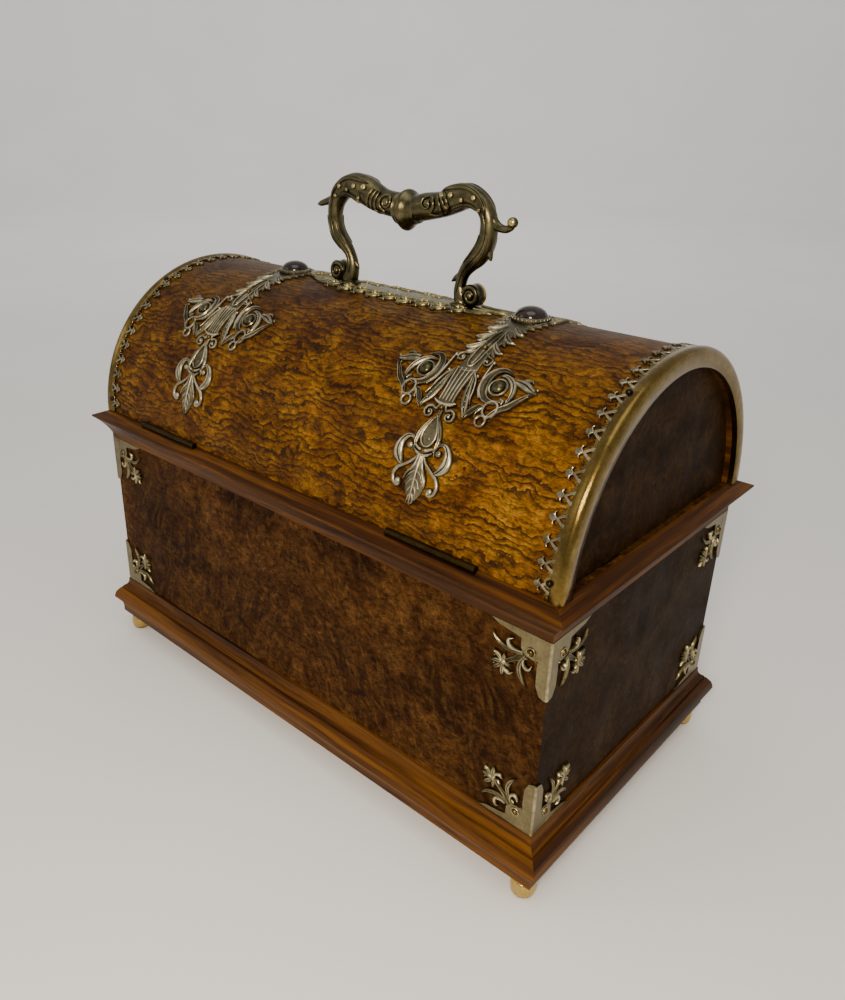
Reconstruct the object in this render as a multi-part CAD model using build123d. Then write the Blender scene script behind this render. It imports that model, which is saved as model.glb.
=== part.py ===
from build123d import *
import os
from math import asin, atan2, cos, degrees, pi, radians, sin, sqrt

os.makedirs("parts", exist_ok=True)

# Antique domed jewellery casket in burr walnut with brass mounts, in millimetres.
# Origin: centre of the base on the standing plane. +X runs along the length,
# +Y points to the front with the lock, and -Y to the back with the hinges.

# Carcase
body_length = 280.0
body_depth = 148.0
wall_thickness = 8.0
wall_height = 89.0
base_thickness = 6.0

# Bun feet
foot_height = 11.0
foot_diameter = 10.6
foot_inset = 10.0
foot_flat_diameter = 5.0
foot_neck_diameter = 6.4
foot_stud_diameter = 3.0
foot_stud_length = 4.0

# Plinth and cornice mouldings
plinth_height = 22.0
plinth_out = 8.0
cornice_height = 15.0
cornice_out = 7.8
cornice_nose = 0.8

# Domed lid
lid_gap = 0.15
dome_drop = 1.0
shell_thickness = 6.0
end_panel_thickness = 8.0
end_recess = 2.5
rail_height = 8.0
rail_depth = 6.2

# Brass bands on the ends of the dome
band_thickness = 1.2
band_width = 6.2
band_lap = 7.4
fringe_reach = 4.3
fringe_radius = 2.1
fringe_stalk = 2.0
fringe_count = 14
band_screw_count = 2
band_screw_diameter = 2.6
band_screw_foot_margin = 8.0

# Brass straps over the dome
strap_plate_gap = 11.5
strap_thickness = 1.2
strap_neck_width = 10.0
cartouche_arc = 46.0
cartouche_width = 66.0
cartouche_height = 27.0
strap_stem_width = 7.5
fleur_width = 25.0
fleur_height = 18.0
strap_tip_arc = 101.5
boss_spacing = 35.0
boss_diameter = 7.0
strap_pierce_radius = 1.7
strap_pin_diameter = 1.6
cabochon_diameter = 14.0
cabochon_height = 5.2
cabochon_girdle = 1.2

# Handle on the ridge
handle_foot_x = 34.0
handle_height = 50.5
handle_half_width = 48.0
handle_grip_radius = 6.0
handle_knob_radius = 8.4
handle_knob_length = 11.0
handle_leg_radius = 3.1
handle_stud_diameter = 4.0
handle_nut_width = 8.0
handle_nut_height = 2.8
handle_nut_clearance = 0.4
handle_stud_proud = 0.2
handle_stud_inset = 0.3
handle_collar_radius = 5.8
handle_collar_height = 2.2
handle_scroll_radius = 3.6
handle_scroll_width = 6.8
handle_scroll_offset = 6.2
handle_finial_radius = 2.3
handle_finial_reach = 7.8
backplate_length = 122.0
backplate_width = 25.0
backplate_thickness = 1.3

# Corner mounts
mount_arm = 25.5
mount_strip = 5.0
mount_thickness = 0.9
mount_rosette = 6.2
mount_gap = 0.1
mount_pin_inset = 7.4
pin_diameter = 1.6
pin_head_diameter = 2.4
pin_length = 5.0

# Hinges at the back
hinge_spacing = 170.0
hinge_length = 44.0
knuckle_radius = 1.5
knuckle_count = 5
knuckle_gap = 0.12
hinge_pin_radius = 0.75
hinge_running_clearance = 0.04
hinge_back_offset = 1.6
hinge_rise = 0.9
leaf_thickness = 1.0
leaf_reach = 9.2
knuckle_scribe = 0.2

# Quadrant stays that stop the lid
lid_open_angle = 78.0
stay_radius = 42.0
stay_width = 3.6
stay_thickness = 1.6
stay_slot_clearance = 0.4
stay_arc_clearance = 0.6
stay_wall_offset = 4.5
stay_root_angle = 14.0
stay_nub_radius = 1.4
stay_nub_width = 2.2
stay_plate_thickness = 1.0
stay_plate_length = 14.0
stay_plate_width = 5.4
stay_stop_gap = 0.15

# Box lock, its key and the link plate in the lid
lock_end_room = 0.7
lock_foot_room = 0.5
lock_depth = 6.0
lock_wall = 0.7
face_plate_length = 52.0
face_plate_thickness = 1.2
face_plate_lip = 0.5
prong_drop = 7.4
key_shank_radius = 1.5
drill_pin_radius = 0.7
drill_pin_clearance = 0.06
key_bit_reach = 5.0
key_bit_width = 1.6
key_bow_width = 15.0
key_bow_length = 9.2
key_bow_wire = 2.2
key_neck = 1.2
key_tip_gap = 0.2
key_collar_radius = 2.2
key_collar_length = 0.8
key_collar_gap = 0.2
bolt_thickness = 1.8
bolt_travel = 5.0
bolt_bar_height = 4.1
bolt_post_width = 2.6
bolt_tip_gap = 0.4
talon_bite = 1.8
talon_side_gap = 0.4
prong_height = 2.6
staple_thickness = 1.8
staple_width = 3.6
staple_side = 0.6
staple_spacing = 20.0
staple_foot = 1.6
lock_play = 0.3
link_plate_thickness = 1.2
link_plate_length = 48.0
escutcheon_drop = 1.5
escutcheon_height = 27.0
escutcheon_width = 17.0
escutcheon_thickness = 1.1
escutcheon_pin_diameter = 1.8
escutcheon_lobe_radius = 5.1

# Lift-out tray, its bearers and the lining
lining_thickness = 2.0
lining_gap = 0.1
lining_below_rim = 1.0
tray_end_gap = 0.4
tray_side_gap = 0.8
tray_height = 22.0
tray_below_rim = 3.0
tray_wall = 3.5
tray_base_thickness = 2.6
tray_divider = 3.0
tray_middle_width = 78.0
tray_seat_gap = 0.1
bearer_lap = 3.0
bearer_height = 6.0
ring_roll_count = 6
ring_roll_height = 13.0
soft_gap = 0.3
tray_pad_thickness = 1.5
tray_knob_diameter = 6.0
tray_knob_height = 7.0
tray_knob_peg_radius = 0.9
tray_knob_peg_length = 5.0
lid_lining_thickness = 2.0

# Small wood screws
screw_head_diameter = 3.0
screw_shank_diameter = 1.6
screw_length = 6.0

# Levels and faces worked out from the sizes above
half_x = body_length / 2
half_y = body_depth / 2
floor_z = foot_height + base_thickness
plinth_top = foot_height + plinth_height
cornice_bottom = plinth_top + wall_height
rim_z = cornice_bottom + cornice_height
lid_z = rim_z + lid_gap
dome_z = lid_z - dome_drop
dome_r = half_y
inner_r = dome_r - shell_thickness
well_x = half_x - wall_thickness
well_y = half_y - wall_thickness
hinge_y = -(half_y + hinge_back_offset)
hinge_z = rim_z + hinge_rise
panel_out_x = half_x - end_recess
panel_in_x = panel_out_x - end_panel_thickness
ridge_z = dome_z + dome_r

def save(name, shapes):
    """Write one node, a single solid or a group of separate solids."""
    solids = shapes if isinstance(shapes, list) else [shapes]
    found = [s for shape in solids for s in shape.solids()]
    shape = found[0] if len(found) == 1 else Compound(children=found)
    export_step(shape, f"parts/{name}.step")


def block(x0, x1, y0, y1, z0, z1):
    """A box between two corners."""
    size = (x1 - x0, y1 - y0, z1 - z0)
    return Pos((x0 + x1) / 2, (y0 + y1) / 2, (z0 + z1) / 2) * Box(*size)


def rod_x(radius, length, x, y, z):
    """A round bar along X, centred on a point."""
    return Pos(x, y, z) * Rot(0, 90, 0) * Cylinder(radius, length)


def rod_y(radius, y0, y1, x, z):
    """A round bar along Y between two faces."""
    return Pos(x, (y0 + y1) / 2, z) * Rot(90, 0, 0) * Cylinder(radius, y1 - y0)


def rod_z(radius, z0, z1, x, y):
    """A round bar along Z between two levels."""
    return Pos(x, y, (z0 + z1) / 2) * Cylinder(radius, z1 - z0)


def wood_screw(face, normal_up=True):
    """A countersunk screw whose flat head is flush with z = 0 and points down, or up."""
    head_r = screw_head_diameter / 2
    shank_r = screw_shank_diameter / 2
    cone_h = head_r - shank_r
    head = Pos(0, 0, -cone_h / 2) * Cone(shank_r, head_r, cone_h)
    shank = Pos(0, 0, -(cone_h + screw_length) / 2) * Cylinder(shank_r, screw_length - cone_h)
    screw = head + shank
    if not normal_up:
        screw = Rot(180, 0, 0) * screw
    return face * screw


# Places on the dome, by distance along X and arc length from the ridge
def dome_place(x, arc, radius):
    """A location on the dome, its Z axis pointing out of the surface and X along the ridge."""
    angle = arc / dome_r
    out = (0, sin(angle), cos(angle))
    origin = (x, radius * out[1], dome_z + radius * out[2])
    return Plane(origin=origin, x_dir=(1, 0, 0), z_dir=out).location


def dome_shell(r0, r1, x0, x1, foot):
    """The part of a pipe along the dome's axis that lies above the level foot."""
    mid, length = (x0 + x1) / 2, x1 - x0
    pipe = rod_x(r1, length, mid, 0, dome_z) - rod_x(r0, length + 2, mid, 0, dome_z)
    return pipe & block(x0 - 1, x1 + 1, -r1 - 1, r1 + 1, foot, dome_z + r1 + 1)


def ring_sector(r0, r1, angle0, angle1, x0, x1, y, z):
    """A flat curved bar in a plane square to X, between two angles measured from +Y."""
    mid = radians((angle0 + angle1) / 2)
    a0, a1 = radians(angle0), radians(angle1)

    def at(radius, angle):
        return (x0, y + radius * cos(angle), z + radius * sin(angle))

    outer = ThreePointArc(at(r1, a0), at(r1, mid), at(r1, a1))
    inner = ThreePointArc(at(r0, a1), at(r0, mid), at(r0, a0))
    side1 = Line(at(r1, a1), at(r0, a1))
    side0 = Line(at(r0, a0), at(r1, a0))
    face = make_face(Wire([outer.edge(), side1.edge(), inner.edge(), side0.edge()]))
    return extrude(face, amount=x1 - x0, dir=(1, 0, 0))


# Mouldings
def moulding(profile, run_half, face, reach, turn):
    """One mitred length: the profile is extruded along X, mitred, then turned about Z."""
    bar = extrude(profile, amount=run_half + reach, dir=(1, 0, 0), both=True)
    grow = reach + 1
    plan = Polyline(
        (-run_half, face), (run_half, face),
        (run_half + grow, face + grow), (-run_half - grow, face + grow),
        close=True,
    )
    mitre = Pos(0, 0, -1) * extrude(make_face(plan), amount=rim_z + 2, dir=(0, 0, 1))
    return Rot(0, 0, turn) * (bar & mitre)


def outline_yz(curves, y, z):
    """A face in the YZ plane from curves drawn as (out, up) points."""
    wire = Wire([c.edge() for c in curves])
    return Pos(0, y, z) * make_face(wire)


def path_yz(points):
    """Straight lines through (out, up) points, or an arc where an item holds three points."""
    curves = []
    for item in points:
        ends = [(0, p[0], p[1]) for p in item]
        curves.append(Line(*ends) if len(ends) == 2 else ThreePointArc(*ends))
    return curves


def plinth_profile(y):
    """Fillet, cove, small step, rounded lower member and a hollow down to the base."""
    w, h = plinth_out, plinth_height
    cove_w, step_w, foot_w = 0.50 * w, 0.62 * w, 0.58 * w
    return outline_yz(path_yz([
        [(0, 0), (foot_w, 0)],
        [(foot_w, 0), (foot_w, 0.10 * h)],
        [(foot_w, 0.10 * h), (0.70 * w, 0.30 * h), (w, 0.42 * h)],
        [(w, 0.42 * h), (0.955 * w, 0.51 * h), (0.86 * w, 0.60 * h)],
        [(0.86 * w, 0.60 * h), (step_w, 0.71 * h)],
        [(step_w, 0.71 * h), (cove_w, 0.71 * h)],
        [(cove_w, 0.71 * h), (cove_w, 0.76 * h)],
        [(cove_w, 0.76 * h), (0.26 * w, 0.83 * h), (0.15 * w, 0.94 * h)],
        [(0.15 * w, 0.94 * h), (0.15 * w, h)],
        [(0.15 * w, h), (0, h)],
        [(0, h), (0, 0)],
    ]), y, foot_height)


def cornice_profile(y):
    """A hollow underside that flares to a thin nose, and a top that slopes to the lid."""
    w, h = cornice_out, cornice_height
    nose_z = 0.76 * h
    return outline_yz(path_yz([
        [(0, 0), (0.09 * w, 0)],
        [(0.09 * w, 0), (0.09 * w, 0.14 * h)],
        [(0.09 * w, 0.14 * h), (0.38 * w, 0.42 * h), (w, nose_z)],
        [(w, nose_z), (w, nose_z + cornice_nose)],
        [(w, nose_z + cornice_nose), (0.12 * w, h)],
        [(0.12 * w, h), (0, h)],
        [(0, h), (0, 0)],
    ]), y, cornice_bottom)


sides = {"front": (0, half_x, half_y), "left": (90, half_y, half_x),
         "back": (180, half_x, half_y), "right": (-90, half_y, half_x)}


# Hinges
def hinge_spans(centre):
    """The X range of each knuckle, the odd ones on the lower leaf."""
    step = hinge_length / knuckle_count
    start = centre - hinge_length / 2
    return [(start + i * step + knuckle_gap / 2, start + (i + 1) * step - knuckle_gap / 2)
            for i in range(knuckle_count)]


def hinge_leaf(centre, upper):
    """A leaf let into the joint, with its own knuckles and notches for the other leaf's."""
    z0 = lid_z if upper else rim_z - leaf_thickness
    leaf = block(centre - hinge_length / 2, centre + hinge_length / 2,
                 hinge_y, hinge_y + leaf_reach, z0, z0 + leaf_thickness)
    mine, other = (1, 0) if upper else (0, 1)
    spans = hinge_spans(centre)
    for x0, x1 in spans[mine::2]:
        leaf += rod_x(knuckle_radius, x1 - x0, (x0 + x1) / 2, hinge_y, hinge_z)
    scribe = knuckle_radius + knuckle_scribe
    for x0, x1 in spans[other::2]:
        width = x1 - x0 + 2 * knuckle_gap
        leaf -= rod_x(scribe, width, (x0 + x1) / 2, hinge_y, hinge_z)
    bore = hinge_pin_radius + hinge_running_clearance
    leaf -= rod_x(bore, hinge_length + 2, centre, hinge_y, hinge_z)
    for x in leaf_screw_x(centre):
        leaf -= leaf_screw(x, upper)
    return leaf


def leaf_screw_x(centre):
    offset = hinge_length / 2 - screw_head_diameter * 1.6
    return [centre - offset, centre, centre + offset]


def leaf_screw(x, upper):
    y = -(half_y - shell_thickness / 2)
    z = lid_z if upper else rim_z
    return wood_screw(Location((x, y, z)), normal_up=not upper)


def hinge_recess(centre, upper):
    """The pocket for one leaf and the groove that clears the knuckles."""
    z0 = lid_z if upper else rim_z - leaf_thickness
    pocket = block(centre - hinge_length / 2, centre + hinge_length / 2,
                   hinge_y - knuckle_radius, hinge_y + leaf_reach, z0, z0 + leaf_thickness)
    groove = rod_x(knuckle_radius + knuckle_scribe, hinge_length + 2 * knuckle_gap,
                   centre, hinge_y, hinge_z)
    return pocket + groove


hinge_centres = [-hinge_spacing / 2, hinge_spacing / 2]


# Quadrant stays, each an arc about the hinge line that runs in a slot of the end wall
stay_x = half_x - stay_wall_offset
stay_in, stay_out = stay_radius - stay_width / 2, stay_radius + stay_width / 2
nub_stop_z = rim_z - stay_plate_thickness - stay_nub_radius - stay_stop_gap
nub_open_angle = degrees(asin((nub_stop_z - hinge_z) / stay_radius))
nub_angle = nub_open_angle - lid_open_angle
stay_tip_angle = nub_angle - degrees(stay_nub_radius / stay_radius)


def stay(side):
    x0 = side * stay_x - stay_thickness / 2
    arm = ring_sector(stay_in, stay_out, stay_tip_angle, stay_root_angle,
                      x0, x0 + stay_thickness, hinge_y, hinge_z)
    y = hinge_y + stay_radius * cos(radians(nub_angle))
    z = hinge_z + stay_radius * sin(radians(nub_angle))
    return arm + rod_x(stay_nub_radius, stay_nub_width, side * stay_x, y, z)


def stay_slot(side):
    """The slot in the end wall, open at the rim."""
    half = stay_nub_width / 2 + stay_slot_clearance / 2
    lead = degrees(stay_arc_clearance / stay_radius)
    return ring_sector(stay_in - stay_arc_clearance, stay_out + stay_arc_clearance,
                       stay_tip_angle - lead, stay_root_angle,
                       side * stay_x - half, side * stay_x + half, hinge_y, hinge_z)


def stay_plate(side):
    """The brass plate in the rim whose slit the stay slides through."""
    y = hinge_y + sqrt(stay_radius ** 2 - hinge_rise ** 2)
    z0 = rim_z - stay_plate_thickness
    x0, x1 = side * stay_x - stay_plate_width / 2, side * stay_x + stay_plate_width / 2
    plate = block(x0, x1, y - stay_plate_length / 2, y + stay_plate_length / 2, z0, rim_z)
    half_slit = stay_thickness / 2 + stay_slot_clearance / 2
    slit_y = stay_width / 2 + stay_arc_clearance
    slit = block(side * stay_x - half_slit, side * stay_x + half_slit,
                 y - slit_y, y + slit_y, z0 - 1, rim_z + 1)
    return plate, plate - slit


# Lock
lock_in_y = well_y
lock_out_y = lock_in_y + lock_depth
lock_top = rim_z - face_plate_thickness
key_z = cornice_bottom - escutcheon_drop - escutcheon_height / 2
lock_bottom = key_z - key_bit_reach - lock_play - lock_foot_room - lock_wall
bolt_tip = staple_thickness / 2 + bolt_tip_gap
bolt_post_back = bolt_tip + bolt_travel + bolt_post_width
lock_half = staple_spacing / 2 + bolt_post_back + lock_end_room + lock_wall
bolt_y = lock_in_y + lock_wall + lock_play + staple_side + lock_play
bolt_bar_z = key_z + key_bit_reach - talon_bite
prong_z = rim_z - prong_drop
staple_y = bolt_y - staple_side - lock_play
staple_x = [-staple_spacing / 2, staple_spacing / 2]


def keyhole(radius, slot_half, slot_reach, y0, y1):
    """A round hole for the shank with a slot below it for the bit."""
    hole = rod_y(radius, y0, y1, 0, key_z)
    return hole + block(-slot_half, slot_half, y0, y1, key_z - slot_reach, key_z)


def lock_case():
    half = lock_half
    outer = block(-half, half, lock_in_y, lock_out_y, lock_bottom, lock_top)
    inner = block(-half + lock_wall, half - lock_wall, lock_in_y + lock_wall,
                  lock_out_y - lock_wall, lock_bottom + lock_wall, lock_top + 1)
    case = outer - inner
    case -= keyhole(key_shank_radius + lock_play, key_bit_width / 2 + lock_play,
                    key_bit_reach + lock_play, lock_out_y - lock_wall - 1, lock_out_y + 1)
    return case + rod_y(drill_pin_radius, lock_in_y, bolt_y + bolt_thickness, 0, key_z)


def face_plate():
    half = face_plate_length / 2
    plate = block(-half, half, lock_in_y, lock_out_y + face_plate_lip, lock_top, rim_z)
    for x in staple_x:
        plate -= block(x - staple_thickness / 2 - lock_play, x + staple_thickness / 2 + lock_play,
                       staple_y - lock_play, staple_y + staple_width + 3 * lock_play,
                       lock_top - 1, rim_z + 1)
    return plate


def face_plate_screw_x():
    x = face_plate_length / 2 - screw_head_diameter * 0.75
    return [-x, x]


def lock_bolt():
    """A sliding bar with a talon for the key bit and a prong for each staple."""
    y0, y1 = bolt_y, bolt_y + bolt_thickness
    top = bolt_bar_z + bolt_bar_height
    tip, post_back = bolt_tip, bolt_post_back
    left = staple_x[0] - post_back
    right = staple_x[1] - tip - bolt_travel
    bolt = block(left, right, y0, y1, bolt_bar_z, top)
    for x in staple_x:
        x0 = x - post_back
        bolt += block(x0, x0 + bolt_post_width, y0, y1, bolt_bar_z, prong_z + prong_height)
        bolt += block(x0, x - tip, y0, y1, prong_z, prong_z + prong_height)
    sweep = key_bit_reach + lock_play
    reach = sqrt(sweep ** 2 - (bolt_bar_z - key_z - lock_play) ** 2)
    start = degrees(atan2(reach, -(bolt_bar_z - key_z - lock_play)))
    shift = bolt_travel * start / 180
    talon_left = -reach - shift - key_bit_width / 2 - talon_side_gap
    talon_right = -bolt_travel + key_bit_width / 2 + talon_side_gap
    talon = block(talon_left, talon_right, y0 - 1, y1 + 1, bolt_bar_z - 1, key_z + sweep)
    return bolt - talon


def link_plate():
    """The plate in the lid's front edge with the two staples that drop into the lock."""
    half = link_plate_length / 2
    plate = block(-half, half, lock_in_y, lock_out_y + face_plate_lip, lid_z, lid_z + link_plate_thickness)
    link = plate
    for x in staple_x:
        x0, x1 = x - staple_thickness / 2, x + staple_thickness / 2
        eye_z0, eye_z1 = prong_z - 1.3 * lock_play, prong_z + prong_height + 1.3 * lock_play
        leg = block(x0, x1, staple_y, staple_y + staple_width, eye_z0 - staple_foot,
                    lid_z + link_plate_thickness)
        eye = block(x0 - 1, x1 + 1, staple_y + staple_side,
                    staple_y + staple_width - staple_side, eye_z0, eye_z1)
        link += leg - eye
    return plate, link


def link_screw_x():
    x = link_plate_length / 2 - screw_head_diameter * 1.1
    return [-x, x]


def escutcheon_outline(y0, y1):
    """An oval plate with a lobe above and below."""
    w, h = escutcheon_width / 2, escutcheon_height / 2
    lobe = escutcheon_lobe_radius
    oval = Plane(origin=(0, y0, key_z), x_dir=(1, 0, 0), z_dir=(0, 1, 0))
    body = extrude(oval * Ellipse(w, h - lobe), amount=y1 - y0)
    for side in (-1, 1):
        body += rod_y(lobe, y0, y1, 0, key_z + side * (h - lobe))
    return body


def escutcheon_pin_z():
    offset = escutcheon_height / 2 - escutcheon_lobe_radius
    return [key_z - offset, key_z + offset]


def key():
    """A piped key: bit, shank, collar and an oval bow."""
    tip_y = bolt_y - key_tip_gap
    bow_y = half_y + escutcheon_thickness + key_neck
    shank = rod_y(key_shank_radius, tip_y, bow_y + key_bow_wire / 2, 0, key_z)
    bit = block(-key_bit_width / 2, key_bit_width / 2, bolt_y, bolt_y + bolt_thickness,
                key_z - key_bit_reach, key_z)
    collar_y = half_y + escutcheon_thickness + key_collar_gap
    collar = rod_y(key_collar_radius, collar_y, collar_y + key_collar_length, 0, key_z)
    flat = Plane(origin=(0, bow_y + key_bow_length / 2, key_z), x_dir=(0, 0, 1),
                 z_dir=(1, 0, 0))
    wire = key_bow_wire
    ring = Ellipse(key_bow_width / 2, key_bow_length / 2)
    ring -= Ellipse(key_bow_width / 2 - wire, key_bow_length / 2 - wire)
    bow = extrude(flat * ring, amount=wire / 2, both=True)
    whole = shank + bit + collar + bow
    pipe = drill_pin_radius + drill_pin_clearance
    return whole - rod_y(pipe, tip_y - 1, bolt_y + bolt_thickness + 0.5, 0, key_z)


# Carcase
base_board = block(-half_x, half_x, -half_y, half_y, foot_height, floor_z)
foot_x = half_x + plinth_out - foot_inset
foot_y = half_y + plinth_out - foot_inset
foot_places = [(sx * foot_x, sy * foot_y) for sx in (-1, 1) for sy in (-1, 1)]
stud_top = foot_height + foot_stud_length
for x, y in foot_places:
    base_board -= rod_z(foot_stud_diameter / 2, foot_height - 1, stud_top, x, y)


def bun_foot(x, y):
    """A turned brass foot: flat underneath, a round bun, a neck and a stud."""
    r, flat, neck = foot_diameter / 2, foot_flat_diameter / 2, foot_neck_diameter / 2
    bun_h = 0.84 * foot_height
    mid_h = 0.47 * foot_height
    profile = [
        Line((0, 0, 0), (flat, 0, 0)),
        ThreePointArc((flat, 0, 0), (0.90 * r, 0, 0.19 * foot_height), (r, 0, mid_h)),
        ThreePointArc((r, 0, mid_h), (0.88 * r, 0, 0.72 * foot_height), (neck, 0, bun_h)),
        Line((neck, 0, bun_h), (neck, 0, foot_height)),
        Line((neck, 0, foot_height), (0, 0, foot_height)),
        Line((0, 0, foot_height), (0, 0, 0)),
    ]
    bun = revolve(make_face(Wire([c.edge() for c in profile])), axis=Axis.Z)
    stud = rod_z(foot_stud_diameter / 2, foot_height - 1, stud_top - 0.3, 0, 0)
    return Pos(x, y, 0) * (bun + stud)


wall_front = block(-well_x, well_x, well_y, half_y, floor_z, rim_z)
wall_back = block(-well_x, well_x, -half_y, -well_y, floor_z, rim_z)
wall_left = block(-half_x, -well_x, -half_y, half_y, floor_z, rim_z)
wall_right = block(well_x, half_x, -half_y, half_y, floor_z, rim_z)

cornices = {name: moulding(cornice_profile(face), run, face, cornice_out, turn)
            for name, (turn, run, face) in sides.items()}
plinths = {name: moulding(plinth_profile(face), run, face, plinth_out, turn)
           for name, (turn, run, face) in sides.items()}

# Lock recess, face plate and keyhole in the front wall
lock_recess = block(-lock_half, lock_half, lock_in_y - 1, lock_out_y,
                    lock_bottom, rim_z + 1)
plate_recess = block(-face_plate_length / 2, face_plate_length / 2, lock_in_y - 1,
                     lock_out_y + face_plate_lip, lock_top, rim_z + 1)
wall_keyhole = keyhole(key_shank_radius + 2 * lock_play, key_bit_width / 2 + 2 * lock_play,
                       key_bit_reach + 2 * lock_play, lock_out_y - 1, half_y + 1)
wall_front = wall_front - lock_recess - plate_recess - wall_keyhole
lock_plate = face_plate()
body_screws = []
for x in face_plate_screw_x():
    place = Location((x, (lock_in_y + lock_out_y + face_plate_lip) / 2, rim_z))
    screw = wood_screw(place)
    lock_plate -= screw
    wall_front -= screw
    body_screws.append(screw)

# Escutcheon and its two pins
escutcheon = escutcheon_outline(half_y, half_y + escutcheon_thickness)
escutcheon -= keyhole(key_shank_radius + 2 * lock_play, key_bit_width / 2 + 2 * lock_play,
                      key_bit_reach + 2 * lock_play, half_y - 1, half_y + 3)
mount_pins = []


def pin(place, shank_r, head_r, length, plate):
    """A round-headed pin through a plate of the given thickness, pointing down its Z axis."""
    head = Pos(0, 0, plate) * (Sphere(head_r) & Pos(0, 0, head_r) * Box(*[2 * head_r] * 3))
    shank = Pos(0, 0, plate - length / 2) * Cylinder(shank_r, length)
    return place * (head + shank)


def shank_hole(place, shank_r, length, plate):
    return place * Pos(0, 0, plate - length / 2) * Cylinder(shank_r, length)


for z in escutcheon_pin_z():
    place = Plane(origin=(0, half_y, z), x_dir=(1, 0, 0), z_dir=(0, 1, 0)).location
    shank_r = escutcheon_pin_diameter / 2
    length = min(pin_length, half_y - lock_out_y + escutcheon_thickness - 0.2)
    mount_pins.append(pin(place, shank_r, shank_r * 1.4, length, escutcheon_thickness))
    hole = shank_hole(place, shank_r, length, escutcheon_thickness)
    escutcheon -= hole
    wall_front -= hole


# Corner mounts: two pierced flanges round the arris, one upright and one turned over
def mount_flange(plane, pierced_side):
    """A strip up the arris, an arm along the moulding and a pierced scroll between them."""
    arm, strip, rose = mount_arm, mount_strip, mount_rosette
    s = pierced_side
    point = strip * 0.9
    face = make_face(Polyline(
        (0, 0), (s * arm, 0), (s * (arm - strip * 0.6), -strip * 0.75), (s * strip, -strip * 0.75),
        (s * strip, -arm + point), (s * strip / 2, -arm), (0, -arm), close=True))
    centre = strip + rose * 0.95
    rosette = Pos(s * centre, -centre) * Circle(rose)
    leaf_a = Pos(s * (centre + rose), -strip * 0.9) * Circle(rose * 0.55)
    leaf_b = Pos(s * strip * 0.9, -(centre + rose)) * Circle(rose * 0.55)
    shape = face + rosette + leaf_a + leaf_b
    for u, v in ((0.42, 0.42), (0.42, -0.42), (-0.42, -0.42)):
        shape -= Pos(s * (centre + u * rose), -centre + v * rose) * Circle(rose * 0.22)
    return extrude(plane * shape, amount=mount_thickness)


def corner_mount(sx, sy, upper):
    """Both flanges of one mount, fused along the arris, with the places of its two pins."""
    z = cornice_bottom - mount_gap if upper else plinth_top + mount_gap
    up = 1 if upper else -1
    long_plane = Plane(origin=(sx * half_x, sy * half_y, z), x_dir=(up * sy * -1, 0, 0),
                       z_dir=(0, sy, 0))
    end_plane = Plane(origin=(sx * half_x, sy * half_y, z), x_dir=(0, up * sx, 0),
                      z_dir=(sx, 0, 0))
    long_side = sx * sy * up
    end_side = -sx * sy * up
    long_flange = mount_flange(long_plane, long_side)
    end_flange = mount_flange(end_plane, end_side)
    t = mount_thickness
    z0, z1 = (z - mount_arm, z) if upper else (z, z + mount_arm)
    x0, x1 = sorted((sx * half_x, sx * (half_x + t)))
    y0, y1 = sorted((sy * half_y, sy * (half_y + t)))
    arris = block(x0, x1, y0, y1, z0, z1)
    mount = long_flange + end_flange + arris
    pins = [plane.location * Pos(side * mount_pin_inset, -mount_pin_inset, 0)
            for plane, side in ((long_plane, long_side), (end_plane, end_side))]
    return mount, pins


mounts = {"upper": [], "lower": []}
for sx in (-1, 1):
    for sy in (-1, 1):
        for level in ("upper", "lower"):
            mount, places = corner_mount(sx, sy, level == "upper")
            for place in places:
                shank_r = pin_diameter / 2
                mount_pins.append(pin(place, shank_r, pin_head_diameter / 2, pin_length,
                                      mount_thickness))
                hole = shank_hole(place, shank_r, pin_length, mount_thickness)
                mount -= hole
                if sx > 0:
                    wall_right -= hole
                else:
                    wall_left -= hole
                if sy > 0:
                    wall_front -= hole
                else:
                    wall_back -= hole
            mounts[level].append(mount)

# Hinge leaves let into the rim, their pins and screws
hinge_lower = [hinge_leaf(c, False) for c in hinge_centres]
hinge_upper = [hinge_leaf(c, True) for c in hinge_centres]
hinge_pins = [rod_x(hinge_pin_radius, hinge_length, c, hinge_y, hinge_z) for c in hinge_centres]
for centre in hinge_centres:
    recess = hinge_recess(centre, False)
    wall_back -= recess
    cornices["back"] -= recess
    for x in leaf_screw_x(centre):
        screw = leaf_screw(x, False)
        wall_back -= screw
        body_screws.append(screw)

# Stay slots and plates in the end walls
stay_plates = []
for side in (-1, 1):
    blank, plate = stay_plate(side)
    stay_plates.append(plate)
    if side > 0:
        wall_right = wall_right - blank - stay_slot(side)
    else:
        wall_left = wall_left - blank - stay_slot(side)

# The tray clears the well lining, and the lid's rails and end pads when it is lifted
rail_y = inner_r - rail_depth
lid_pad_x = panel_in_x - lining_gap - lid_lining_thickness
inner_x = well_x - lining_thickness
inner_y = well_y - lining_thickness
tray_x = min(inner_x, lid_pad_x) - tray_end_gap
tray_y = min(inner_y, rail_y) - tray_side_gap

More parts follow.
